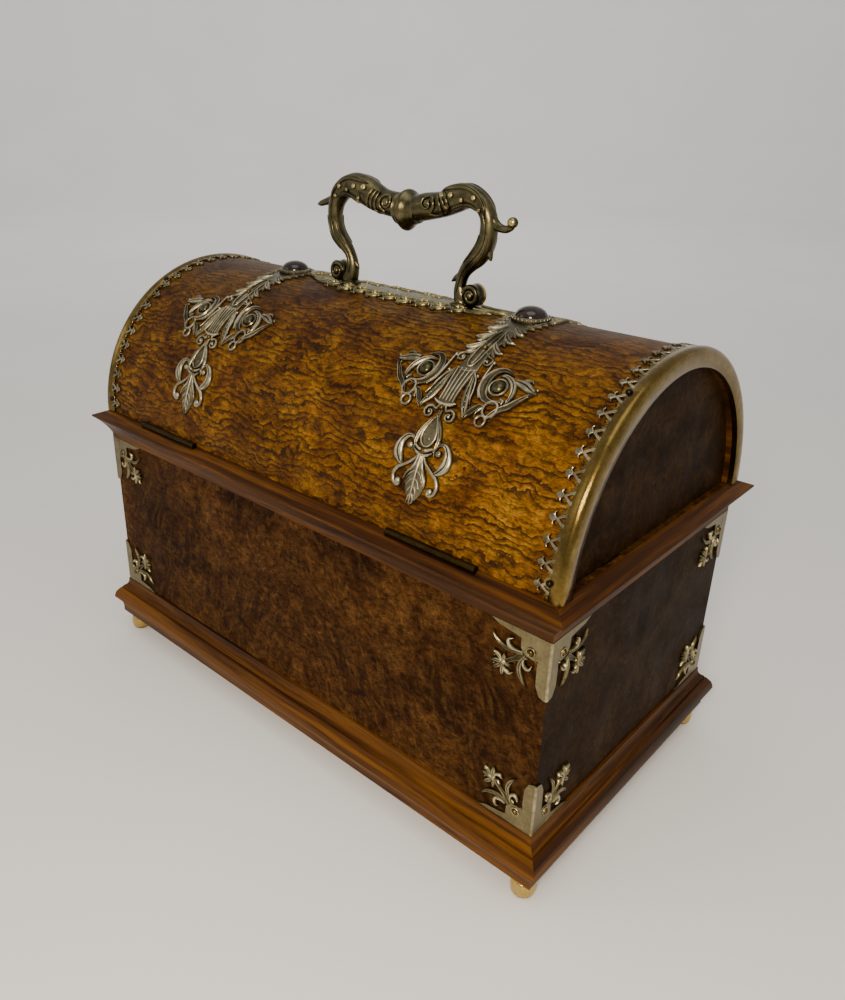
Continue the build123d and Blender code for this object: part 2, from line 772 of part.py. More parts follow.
# Well lining, bearers and floor pad
bearer_top = rim_z - tray_below_rim - tray_height - tray_seat_gap
bearer_bottom = bearer_top - bearer_height
pad_top = floor_z + lining_thickness
well_floor_pad = block(-well_x + lining_gap, well_x - lining_gap, -well_y + lining_gap,
                       well_y - lining_gap, floor_z, pad_top)
lining_top = rim_z - lining_below_rim
well_linings = []
tray_bearers = []
for s in (-1, 1):
    y0, y1 = sorted((s * well_y, s * inner_y))
    for z0, z1 in ((pad_top + lining_gap, bearer_bottom - lining_gap),
                   (bearer_top + lining_gap, lining_top)):
        panel = block(-inner_x + lining_gap, inner_x - lining_gap, y0, y1, z0, z1)
        well_linings.append(panel)
    x0, x1 = sorted((s * well_x, s * inner_x))
    well_linings.append(block(x0, x1, -well_y + lining_gap, well_y - lining_gap,
                              pad_top + lining_gap, lining_top))
    y0, y1 = sorted((s * well_y, s * (tray_y - bearer_lap)))
    bearer = block(-inner_x + lining_gap, inner_x - lining_gap, y0, y1, bearer_bottom, bearer_top)
    tray_bearers.append(bearer)

# Tray
tray_z0 = rim_z - tray_below_rim - tray_height
tray_z1 = tray_z0 + tray_height
in_x, in_y = tray_x - tray_wall, tray_y - tray_wall
tray_floor = tray_z0 + tray_base_thickness
tray_front = block(-tray_x, tray_x, in_y, tray_y, tray_z0, tray_z1)
tray_back = block(-tray_x, tray_x, -tray_y, -in_y, tray_z0, tray_z1)
tray_left = block(-tray_x, -in_x, -in_y, in_y, tray_z0, tray_z1)
tray_right = block(in_x, tray_x, -in_y, in_y, tray_z0, tray_z1)
tray_base = block(-in_x, in_x, -in_y, in_y, tray_z0, tray_floor)
cross_x = tray_middle_width / 2 + tray_divider / 2
half_t = tray_divider / 2
small_x0, small_x1 = cross_x + half_t, in_x
small_mid = (small_x0 + small_x1) / 2
tray_dividers = [
    block(-cross_x - half_t, -cross_x + half_t, -in_y, in_y, tray_floor, tray_z1),
    block(cross_x - half_t, cross_x + half_t, -in_y, in_y, tray_floor, tray_z1),
    block(small_x0, small_x1, -half_t, half_t, tray_floor, tray_z1),
    block(small_mid - half_t, small_mid + half_t, half_t, in_y, tray_floor, tray_z1),
    block(small_mid - half_t, small_mid + half_t, -in_y, -half_t, tray_floor, tray_z1),
]


def tray_knob(x):
    """A turned knob with a peg let into the top of a cross divider."""
    r, h = tray_knob_diameter / 2, tray_knob_height
    neck = rod_z(0.45 * r, 0, h - r, 0, 0)
    ball = Pos(0, 0, h - r) * Sphere(r)
    peg = rod_z(tray_knob_peg_radius, -tray_knob_peg_length, h / 2, 0, 0)
    return Pos(x, 0, tray_z1) * (neck + ball + peg)


tray_knobs = [tray_knob(-cross_x), tray_knob(cross_x)]
for i, x in enumerate((-cross_x, cross_x)):
    tray_dividers[i] -= rod_z(tray_knob_peg_radius, tray_z1 - tray_knob_peg_length, tray_z1 + 1,
                              x, 0)


def ring_roll(x0, x1):
    """A round-topped roll that a ring band slips over, lying along Y."""
    r = (x1 - x0) / 2
    straight = ring_roll_height - r
    mid = (x0 + x1) / 2
    y0, y1 = -in_y + soft_gap, in_y - soft_gap
    z0 = tray_floor + lining_gap
    top = rod_y(r, y0, y1, mid, z0 + straight) & block(x0, x1, y0, y1, z0, z0 + straight + r)
    return top + block(x0, x1, y0, y1, z0, z0 + straight)


roll_x0, roll_x1 = -in_x + soft_gap, -cross_x - half_t - soft_gap
roll_pitch = (roll_x1 - roll_x0 + soft_gap) / ring_roll_count
ring_rolls = [ring_roll(roll_x0 + i * roll_pitch, roll_x0 + (i + 1) * roll_pitch - soft_gap)
              for i in range(ring_roll_count)]
pad_rooms = [(-cross_x + half_t, cross_x - half_t, -in_y, in_y)]
for x0, x1 in ((small_x0, small_mid - half_t), (small_mid + half_t, small_x1)):
    pad_rooms.append((x0, x1, half_t, in_y))
    pad_rooms.append((x0, x1, -in_y, -half_t))
tray_pads = [block(x0 + soft_gap, x1 - soft_gap, y0 + soft_gap, y1 - soft_gap,
                   tray_floor + lining_gap, tray_floor + lining_gap + tray_pad_thickness)
             for x0, x1, y0, y1 in pad_rooms]

# Lid: a coopered shell, two end panels and two rails at its foot
lid_dome = dome_shell(inner_r, dome_r, -half_x, half_x, lid_z)
disc = rod_x(inner_r, 2 * panel_out_x, 0, 0, dome_z)


def lid_end(side):
    x0, x1 = sorted((side * panel_in_x, side * panel_out_x))
    panel = disc & block(x0, x1, -inner_r - 1, inner_r + 1, lid_z, ridge_z)
    return panel - stay(side)


lid_ends = {-1: lid_end(-1), 1: lid_end(1)}
lid_rails = {s: disc & block(-panel_in_x, panel_in_x, *sorted((s * rail_y, s * (inner_r + 1))),
                             lid_z, lid_z + rail_height) for s in (-1, 1)}

lid_screws = []
for centre in hinge_centres:
    recess = hinge_recess(centre, True)
    lid_dome -= recess
    lid_rails[-1] -= recess
    for x in leaf_screw_x(centre):
        screw = leaf_screw(x, True)
        lid_dome -= screw
        lid_screws.append(screw)
link_blank, lock_link = link_plate()
lid_dome -= link_blank
lid_rails[1] -= link_blank
for x in link_screw_x():
    place = Location((x, half_y - shell_thickness / 2, lid_z))
    screw = wood_screw(place, normal_up=False)
    lock_link -= screw
    lid_dome -= screw
    lid_screws.append(screw)

# Padded lid lining: an arch against the shell and a half disc against each end panel
arch_r1 = inner_r - lining_gap
arch_r0 = arch_r1 - lid_lining_thickness
arch_x = panel_in_x - lining_gap
arch_z = lid_z + rail_height + lining_gap
lid_lining = [dome_shell(arch_r0, arch_r1, -arch_x, arch_x, arch_z)]
for s in (-1, 1):
    x0, x1 = sorted((s * arch_x, s * (arch_x - lid_lining_thickness)))
    half_disc = rod_x(arch_r0 - lining_gap, 2 * arch_x, 0, 0, dome_z)
    pad = half_disc & block(x0, x1, -rail_y + lining_gap, rail_y - lining_gap, lid_z, ridge_z)
    lid_lining.append(pad)


# Brass end bands: an angle bent round the arch, with a fringe of round-headed stalks
def edge_band(side):
    r1 = dome_r + band_thickness
    x_in, x_face = side * (half_x - band_width), side * half_x
    x_out = side * (half_x + band_thickness)
    foot = lid_z + lid_gap
    cover = dome_shell(dome_r, r1, *sorted((x_in, x_face)), foot)
    cheek = dome_shell(dome_r - band_lap + band_thickness, r1, *sorted((x_face, x_out)), foot)
    shell = dome_shell(dome_r, r1, *sorted((x_in - side * 2 * fringe_reach, x_face)), foot)
    quarter = dome_r * pi / 2 - 3 * fringe_radius
    step = quarter / fringe_count
    head_offset = fringe_reach - fringe_radius
    stalk = Pos(side * head_offset / 2, 0, 0) * Box(head_offset + 1, fringe_stalk, 6)
    motif = Cylinder(fringe_radius, 6) + stalk
    fringe = None
    for i in range(-fringe_count, fringe_count + 1):
        one = dome_place(x_in - side * head_offset, i * step, dome_r) * motif
        fringe = one if fringe is None else fringe + one
    return cover + cheek + (fringe & shell)


edge_bands = {-1: edge_band(-1), 1: edge_band(1)}
band_screws = []
last_screw_arc = dome_r * pi / 2 - band_screw_foot_margin
screw_step = last_screw_arc / (band_screw_count - 0.5)
for side in (-1, 1):
    x = side * (half_x - band_width / 2)
    for i in range(band_screw_count):
        for s in (-1, 1):
            arc = s * (i + 0.5) * screw_step
            place = dome_place(x, arc, dome_r)
            shank_r = band_screw_diameter / 2 * 0.6
            length = shell_thickness - 1 + band_thickness
            band_screws.append(pin(place, shank_r, band_screw_diameter / 2, length,
                                   band_thickness))
            hole = shank_hole(place, shank_r, length, band_thickness)
            edge_bands[side] -= hole
            lid_dome -= hole


# Straps: a narrow band over the ridge, and on each slope a cartouche and a fleur-de-lis
def strap_shapes():
    """The flat shapes of one slope as (across, arc, shape), drawn square to the dome."""
    fleur_arc = strap_tip_arc - fleur_height / 2
    wing = cartouche_width / 4 + 1
    stem_top = cartouche_arc + cartouche_height / 3
    stem_length = fleur_arc - stem_top
    return [
        (0, cartouche_arc, Rectangle(strap_neck_width * 1.3, cartouche_height * 1.35)),
        (-wing, cartouche_arc, Ellipse(cartouche_width / 4 - 1, cartouche_height / 2)),
        (wing, cartouche_arc, Ellipse(cartouche_width / 4 - 1, cartouche_height / 2)),
        (0, stem_top + stem_length / 2, Rectangle(strap_stem_width, stem_length)),
        (0, fleur_arc - fleur_height * 0.25, Ellipse(fleur_width / 2, fleur_height * 0.30)),
        (0, fleur_arc, Ellipse(fleur_width / 4.4, fleur_height / 2)),
    ]


def strap_neck():
    """A block whose outer skin is the strip of dome between the two cartouches."""
    angle = (cartouche_arc - cartouche_height / 3) / dome_r
    y, z = dome_r * sin(angle), dome_z + dome_r * cos(angle)
    half = strap_neck_width / 2
    return block(-half, half, -y, y, z, ridge_z + 5)


def strap(x):
    r1 = dome_r + strap_thickness
    prisms = strap_neck()
    for s in (-1, 1):
        for across, arc, shape in strap_shapes():
            prisms += dome_place(across, s * arc, dome_r) * extrude(shape, amount=6, both=True)
    solid = prisms & dome_shell(dome_r, r1, -cartouche_width, cartouche_width, lid_z + 1)
    for s in (-1, 1):
        for side in (-1, 1):
            place = dome_place(side * boss_spacing / 2, s * cartouche_arc, dome_r)
            boss = Pos(0, 0, boss_diameter / 4) * Cylinder(boss_diameter / 2, boss_diameter / 2)
            boss = boss & Sphere(boss_diameter / 2)
            solid += place * Pos(0, 0, strap_thickness / 2) * boss
            gap_across = side * (boss_spacing / 2 - boss_diameter * 1.15)
            for up in (-1, 1):
                arc = s * cartouche_arc + up * cartouche_height * 0.24
                solid -= dome_place(gap_across, arc, dome_r) * Cylinder(strap_pierce_radius, 8)
    return Pos(x, 0, 0) * solid


def strap_pin_places(x):
    arcs = (cartouche_arc - cartouche_height * 0.55, cartouche_arc + cartouche_height * 0.60,
            strap_tip_arc - fleur_height * 1.20)
    return [dome_place(x, s * arc, dome_r) for s in (-1, 1) for arc in arcs]


strap_offset = backplate_length / 2 + strap_plate_gap
strap_x = [-strap_offset, strap_offset]
straps = [strap(x) for x in strap_x]
strap_pins = []
for i, x in enumerate(strap_x):
    for place in strap_pin_places(x):
        shank_r = strap_pin_diameter / 2
        length = shell_thickness - 1 + strap_thickness
        strap_pins.append(pin(place, shank_r, shank_r * 1.5, length, strap_thickness))
        hole = shank_hole(place, shank_r, length, strap_thickness)
        straps[i] -= hole
        lid_dome -= hole


def cap(radius, rise):
    """A round cap of a given foot radius and rise, standing on z = 0."""
    ball = (radius ** 2 + rise ** 2) / (2 * rise)
    keep = Pos(0, 0, rise / 2) * Cylinder(radius + 1, rise)
    return keep & Pos(0, 0, rise - ball) * Sphere(ball)


def cabochon(x):
    """A polished stone with a domed top, set on the strap at the ridge."""
    r, h = cabochon_diameter / 2, cabochon_height
    girdle = cabochon_girdle
    stone = Pos(0, 0, girdle / 2) * Cylinder(r, girdle)
    stone += Pos(0, 0, girdle) * cap(r, h - girdle)
    return Pos(x, 0, ridge_z + strap_thickness) * stone


cabochons = [cabochon(x) for x in strap_x]


# Handle: a cast bail with a humped grip, curled shoulders, tapering legs and scroll feet
def handle_backplate():
    r1 = dome_r + backplate_thickness
    half = backplate_length / 2
    shell = dome_shell(dome_r, r1, -half, half, lid_z + 1)
    top = Plane(origin=(0, 0, ridge_z - 4), x_dir=(1, 0, 0), z_dir=(0, 0, 1))
    shape = Rectangle(backplate_length * 0.62, backplate_width * 0.72)
    lobe_count = 5
    for i in range(lobe_count):
        x = (i - (lobe_count - 1) / 2) * backplate_length * 0.62 / lobe_count
        for s in (-1, 1):
            shape += Pos(x, s * backplate_width * 0.34) * Circle(backplate_width * 0.16)
    for s in (-1, 1):
        shape += Pos(s * backplate_length * 0.36, 0) * Ellipse(backplate_length * 0.14,
                                                               backplate_width * 0.30)
    plate = extrude(top * shape, amount=8) & shell
    for s in (-1, 1):
        plate -= rod_z(handle_stud_diameter / 2, ridge_z - 5, ridge_z + 5, s * handle_foot_x, 0)
    return plate


plate_top = ridge_z + backplate_thickness


def handle_limb(side):
    """One half of the bail, lofted through round sections from the knob to its foot."""
    w, h, foot = handle_half_width, handle_height, handle_foot_x
    grip, leg = handle_grip_radius, handle_leg_radius
    stations = [
        (0.0, h - 13.4, grip * 0.90, 0),
        (0.10 * w, h - 13.0, grip * 0.88, 8),
        (0.24 * w, h - 11.0, grip * 0.93, 20),
        (0.42 * w, h - 7.8, grip, 18),
        (0.63 * w, h - grip, grip, -2),
        (0.85 * w, h - 9.2, grip * 0.84, -46),
        (0.965 * w, h - 18.5, leg * 1.22, -82),
        (0.93 * w, h - 29.0, leg, -112),
        (0.80 * w, h - 37.5, leg * 0.86, -128),
        (foot + 0.6, h - 44.0, leg * 0.98, -105),
        (foot, 0.0, leg * 1.35, -90),
    ]
    rings = []
    for x, z, radius, heading in stations:
        turn = radians(heading)
        normal = (side * cos(turn), 0, sin(turn))
        plane = Plane(origin=(side * x, 0, plate_top + z), x_dir=(0, 1, 0), z_dir=normal)
        rings.append(plane * Circle(radius))
    return loft(rings)


def handle():
    h, foot = handle_height, handle_foot_x
    solid = handle_limb(1) + handle_limb(-1)
    knob = Cylinder(handle_knob_radius, handle_knob_length * 0.4)
    for side in (-1, 1):
        flare = Cone(handle_knob_radius, handle_grip_radius * 0.9, handle_knob_length * 0.3)
        knob += Rot(0 if side > 0 else 180, 0, 0) * Pos(0, 0, handle_knob_length * 0.35) * flare
    solid += Pos(0, 0, plate_top + h - 13.4) * Rot(0, 90, 0) * knob
    for side in (-1, 1):
        half = handle_scroll_width / 2
        solid += rod_y(handle_scroll_radius, -half, half, side * (foot + handle_scroll_offset),
                       plate_top + handle_scroll_radius + 0.6)
        curl = Plane(origin=(side * handle_half_width * 0.93, 0, plate_top + h - 15.5),
                     x_dir=(0, 1, 0), z_dir=(side * 0.97, 0, 0.24)).location
        solid += curl * Pos(0, 0, 4) * Cone(3.0, 1.6, 12)
        finial_x = side * (handle_half_width + handle_finial_reach)
        solid += Pos(finial_x, 0, plate_top + h - 12.4) * Sphere(handle_finial_radius)
        solid += rod_z(handle_collar_radius, plate_top, plate_top + handle_collar_height,
                       side * foot, 0)
        solid += rod_z(handle_stud_diameter / 2, stud_low, plate_top + 1, side * foot, 0)
    return solid


stud_low = ridge_z - shell_thickness + handle_stud_inset
nut_top = stud_low + handle_stud_proud + handle_nut_height
handle_nuts = []
handle_solid = handle()
nut_clear = handle_nut_width / 2 / cos(pi / 6) + handle_nut_clearance
for s in (-1, 1):
    x = s * handle_foot_x
    hexagon = Pos(x, 0, nut_top - handle_nut_height) * RegularPolygon(
        handle_nut_width / 2 / cos(pi / 6), 6)
    nut = extrude(hexagon, amount=handle_nut_height, dir=(0, 0, 1))
    handle_nuts.append(nut - rod_z(handle_stud_diameter / 2, stud_low - 1, nut_top + 1, x, 0))
    lid_dome -= rod_z(nut_clear, ridge_z - shell_thickness - 5, nut_top, x, 0)
    lid_dome -= rod_z(handle_stud_diameter / 2, ridge_z - shell_thickness - 1, ridge_z + 1, x, 0)

# Write every node
save("base_board", base_board)
save("bun_feet", [bun_foot(x, y) for x, y in foot_places])
save("wall_front", wall_front)
save("wall_back", wall_back)
save("wall_left", wall_left)
save("wall_right", wall_right)
for name in sides:
    save(f"plinth_{name}", plinths[name])
    save(f"cornice_{name}", cornices[name])
save("upper_corner_mounts", mounts["upper"])
save("lower_corner_mounts", mounts["lower"])
save("mount_pins", mount_pins)
save("well_floor_pad", well_floor_pad)
save("well_linings", well_linings)
save("tray_bearers", tray_bearers)
save("lock_case", lock_case())
save("lock_face_plate", lock_plate)
save("lock_bolt", lock_bolt())
save("lock_link_plate", lock_link)
save("escutcheon", escutcheon)
save("key", key())
save("body_screws", body_screws)
save("stay_plates", stay_plates)
save("lid_stays", [stay(-1), stay(1)])
save("hinge_pins", hinge_pins)
for i, name in enumerate(("left", "right")):
    side = (-1, 1)[i]
    save(f"hinge_lower_leaf_{name}", hinge_lower[i])
    save(f"hinge_upper_leaf_{name}", hinge_upper[i])
    save(f"lid_end_{name}", lid_ends[side])
    save(f"edge_band_{name}", edge_bands[side])
    save(f"strap_{name}", straps[i])
save("lid_dome", lid_dome)
save("lid_rail_front", lid_rails[1])
save("lid_rail_back", lid_rails[-1])
save("lid_lining", lid_lining)
save("lid_screws", lid_screws)
save("band_screws", band_screws)
save("strap_pins", strap_pins)
save("cabochons", cabochons)
save("handle", handle_solid)
save("handle_backplate", handle_backplate())
save("handle_nuts", handle_nuts)
save("tray_front", tray_front)
save("tray_back", tray_back)
save("tray_left", tray_left)
save("tray_right", tray_right)
save("tray_base", tray_base)
save("tray_dividers", tray_dividers)
save("tray_knobs", tray_knobs)
save("ring_rolls", ring_rolls)
save("tray_pads", tray_pads)
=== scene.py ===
from math import atan2, cos, pi, radians, sin, tau

import bmesh
import bpy
import numpy as np
from mathutils import Matrix, Vector


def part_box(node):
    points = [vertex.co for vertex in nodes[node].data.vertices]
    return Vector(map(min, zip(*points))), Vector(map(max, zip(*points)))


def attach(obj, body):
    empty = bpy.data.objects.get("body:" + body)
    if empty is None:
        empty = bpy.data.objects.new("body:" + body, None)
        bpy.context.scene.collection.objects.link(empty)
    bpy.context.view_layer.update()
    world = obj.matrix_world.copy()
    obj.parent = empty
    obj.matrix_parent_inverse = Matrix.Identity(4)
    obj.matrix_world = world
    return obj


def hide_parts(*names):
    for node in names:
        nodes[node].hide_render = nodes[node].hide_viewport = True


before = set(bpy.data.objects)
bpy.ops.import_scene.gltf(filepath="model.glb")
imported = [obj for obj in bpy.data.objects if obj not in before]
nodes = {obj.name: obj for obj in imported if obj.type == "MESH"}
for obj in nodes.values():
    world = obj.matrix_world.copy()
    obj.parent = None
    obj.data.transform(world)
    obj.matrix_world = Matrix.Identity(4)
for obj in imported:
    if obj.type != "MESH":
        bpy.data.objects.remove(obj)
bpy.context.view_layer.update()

# Antique domed jewellery casket. Points are in millimetres here, and in metres once they are meshes.
MM = 0.001


def box_mm(node):
    """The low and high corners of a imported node, in millimetres."""
    low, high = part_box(node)
    return np.array(low) / MM, np.array(high) / MM


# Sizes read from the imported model
dome_low, dome_high = box_mm("lid_dome")
half_x = dome_high[0]
lid_z, ridge_z = dome_low[2], dome_high[2]
dome_drop = lid_z - ridge_z
dome_r = -(dome_high[1] ** 2 + dome_drop ** 2) / (2 * dome_drop)
dome_z = ridge_z - dome_r
half_y = dome_r
quarter_arc = dome_r * pi / 2
foot_arc = quarter_arc - (lid_z - dome_z)
plinth_low, plinth_high = box_mm("plinth_back")
foot_height, plinth_top = plinth_low[2], plinth_high[2]
cornice_bottom = box_mm("cornice_back")[0][2]
strap_low, strap_high = box_mm("strap_right")
strap_x = (strap_low[0] + strap_high[0]) / 2
stone_low, stone_high = box_mm("cabochons")
stone_r = (stone_high[1] - stone_low[1]) / 2
stone_z = stone_low[2]
bail_top = box_mm("handle")[1][2]
backplate_low, backplate_high = box_mm("handle_backplate")
plate_top = backplate_high[2]
band_low, band_high = box_mm("edge_band_right")
band_t = band_high[0] - half_x
AXES = np.eye(3)
X, Y, Z = AXES
CORNERS = [(-1, -1), (-1, 1), (1, -1), (1, 1)]


# Curves and shapes
def smooth(points, steps):
    """Points along a smooth curve through the given ones."""
    p = np.asarray(points, float)
    t = np.linspace(0, len(p) - 1, steps * (len(p) - 1) + 1)
    i = np.minimum(t.astype(int), len(p) - 2)
    f = (t - i)[:, None]
    p = np.vstack([2 * p[0] - p[1], p, 2 * p[-1] - p[-2]])
    a, b, c, d = p[i], p[i + 1], p[i + 2], p[i + 3]
    bend = (2 * a - 5 * b + 4 * c - d) * f ** 2 + (3 * b - a - 3 * c + d) * f ** 3
    return 0.5 * (2 * b + (c - a) * f + bend)


def mirrored(half, axis=0):
    """Points up to a middle one, and on from it with one coordinate's sign turned."""
    sign = [-1 if i == axis else 1 for i in range(len(half[0]))]
    return half + [tuple(s * v for s, v in zip(sign, point)) for point in half[-2::-1]]


def tangents(path):
    """The direction of a path, in its first two coordinates, at each of its points."""
    step = np.gradient(path[:, :2], axis=0)
    return step / (np.linalg.norm(step, axis=1)[:, None] + 1e-9)


def rows_of(x, y, z):
    """Rings of points from coordinates that are spread over one another."""
    return np.stack(np.broadcast_arrays(x, y, z), 2)


def lathe(profile, sides):
    """Rings of points from (radius, height) points turned about an upright line."""
    angle = np.linspace(0, tau, sides, endpoint=False)
    radius, z = np.array(profile, float).T[:, :, None]
    return rows_of(radius * np.cos(angle), radius * np.sin(angle), z)


def quads_of(ids):
    """The faces between each ring of point numbers and the next."""
    a, b = ids[:-1], ids[1:]
    return np.stack([a, np.roll(a, -1, 1), np.roll(b, -1, 1), b], 2).reshape(-1, 4).tolist()


def spiral(across, along, radius, start, turns, wide, thin, tip=0.22):
    """Points of a scroll that winds inward, with their half widths; angles in turns."""
    points = []
    for f in np.linspace(0, 1, int(abs(turns) * 8) + 2):
        angle = tau * (start + turns * f)
        r = radius * (1 - (1 - tip) * f)
        points.append((across + r * cos(angle), along + r * sin(angle), wide + (thin - wide) * f))
    return points


# The narrowest half width, and the height at which raised metal counts as worn bright
THIN = 0.04
WORN = 1.7

# Cross sections of raised metal, as (side, rise) from edge to edge
SECTIONS = {
    "round": mirrored([(-1, 0), (-.97, .35), (-.8, .68), (-.45, .93), (0, 1)]),
    "flat": mirrored([(-1, 0), (-1, .7), (-.93, .94), (-.8, 1), (0, .97)]),
    "rimmed": mirrored([(-1, 0), (-1, .7), (-.88, 1), (-.68, .97), (-.42, .58), (0, .46)]),
    "leaf": mirrored([(-1, 0), (-.97, .42), (-.75, .82), (-.4, 1), (-.14, .9), (0, .58)]),
}


def add(name, data):
    """A new object in the scene."""
    thing = bpy.data.objects.new(name, data)
    bpy.context.scene.collection.objects.link(thing)
    return thing


class Relief:
    """Closed shapes drawn as (across, along, height), mirrored by side and bent by place."""

    def __init__(self, place=None, side=1):
        self.place, self.side = place, side
        self.points, self.faces, self.lifts, self.count = [], [], [], 0

    def both_sides(self):
        """Draws what a loop over it draws twice, mirrored the first time."""
        for side in (-1, 1):
            self.side = side
            yield side

    def tube(self, rows, lift=1.0):
        """Rings of points joined one to the next, and capped at both ends."""
        rows = np.asarray(rows, float)
        n, m = rows.shape[:2]
        ids = self.count + np.arange(n * m).reshape(n, m)
        points = rows.reshape(-1, 3) * (self.side, 1, 1)
        self.points.append(self.place(points) if self.place else points)
        self.faces += quads_of(ids) + [ids[0][::-1].tolist(), ids[-1].tolist()]
        self.lifts.append(np.broadcast_to(lift, (n, m)).ravel())
        self.count += n * m

    def strip(self, points, height, section="round", base=0.0, steps=6):
        """A raised ribbon through (across, along, half width) points."""
        path = smooth(points, steps)
        tangent = tangents(path)
        side, rise = np.array(SECTIONS[section]).T
        width = np.maximum(path[:, 2:], THIN)
        lift = np.minimum(1, width / (0.45 * width.max())) ** 0.6 * rise
        level = base + height * lift
        self.tube(rows_of(path[:, :1] - tangent[:, 1:] * width * side,
                          path[:, 1:2] + tangent[:, :1] * width * side, level), level / WORN)

    def plate(self, points, height, section="flat", steps=4, turned=False):
        """A plate from (along, half width) points, set square to its length."""
        path = smooth(points, steps)
        side, rise = np.array(SECTIONS[section]).T
        whole = np.arange(len(side))
        fine = np.linspace(0, len(side) - 1, 3 * (len(side) - 1) + 1)
        side, rise = np.interp(fine, whole, side), np.interp(fine, whole, rise)
        width = np.maximum(path[:, 1:], THIN)
        level = height * np.minimum(1, width / 0.8) * rise
        pair = (path[:, :1], width * side) if turned else (width * side, path[:, :1])
        self.tube(rows_of(*pair, level), level / WORN)

    def turned(self, across, along, profile, sides=20, base=0.0, wear_and_painted_light=WORN):
        """A round boss or cup from (radius, height) points, the outermost first."""
        rows = lathe(profile, sides) + (across, along, base)
        self.tube(rows, rows[:, :, 2] / wear_and_painted_light)

    def boss(self, across, along, radius, height, base=0.0, sides=18, wear_and_painted_light=WORN):
        """A polished half ball with a short upright foot."""
        foot, least = 0.2 * height, 0.03
        ball = [(max(radius * cos(a), least), foot + (height - foot) * sin(a))
                for a in np.linspace(0, pi / 2, 7)]
        self.turned(across, along, [(radius, 0)] + ball, sides, base, wear_and_painted_light)

    def ring(self, across, along, radius, half, height, base=0.0):
        """A raised round rim."""
        turn = np.linspace(0, tau, 21)
        points = [(across + radius * cos(a), along + radius * sin(a), half) for a in turn]
        self.strip(points, height, base=base, steps=1)

    def scroll(self, lead, centre, radius, start, turns, height, wide, thin, eye, base=0.0):
        """A ribbon that runs in along its lead points and winds round a ball."""
        self.strip(lead + spiral(*centre, radius, start, turns, wide, thin), height, base=base, steps=4)
        self.boss(*centre, eye, height * 1.15, base, 12)

    def make(self, name, body, material, slot, replaces=(), angle=38, grain=None):
        """The mesh in metres, with its relief as an attribute, riding on a body of the frame."""
        mesh = bpy.data.meshes.new(name)
        mesh.from_pydata((np.vstack(self.points) * MM).tolist(), [], self.faces)
        relief = mesh.attributes.new("relief", "FLOAT", "POINT")
        relief.data.foreach_set("value", np.concatenate(self.lifts))
        if grain is not None:
            layer = mesh.attributes.new("grain", "FLOAT_VECTOR", "POINT")
            layer.data.foreach_set("vector", grain.ravel())
        work = bmesh.new()
        work.from_mesh(mesh)
        bmesh.ops.recalc_face_normals(work, faces=work.faces)
        work.to_mesh(mesh)
        work.free()
        mesh.shade_smooth()
        mesh.set_sharp_from_angle(angle=radians(angle))
        mesh.materials.append(material)
        piece = add(name, mesh)
        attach(piece, body)
        if replaces:
            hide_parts(*replaces)
        return piece


def on_dome(centre_x, slope):
    """Bends (across, along, height) over a slope of the dome; along is the arc from the ridge."""
    def place(p):
        angle = p[:, 1] / dome_r
        radius = dome_r + p[:, 2]
        return np.stack([centre_x + p[:, 0], slope * radius * np.sin(angle),
                         dome_z + radius * np.cos(angle)], 1)
    return place


def on_face(origin, across, along, out):
    """Lays (across, along, height) on a flat face."""
    axes = np.array([across, along, out], float)
    return lambda p: np.asarray(origin, float) + p @ axes


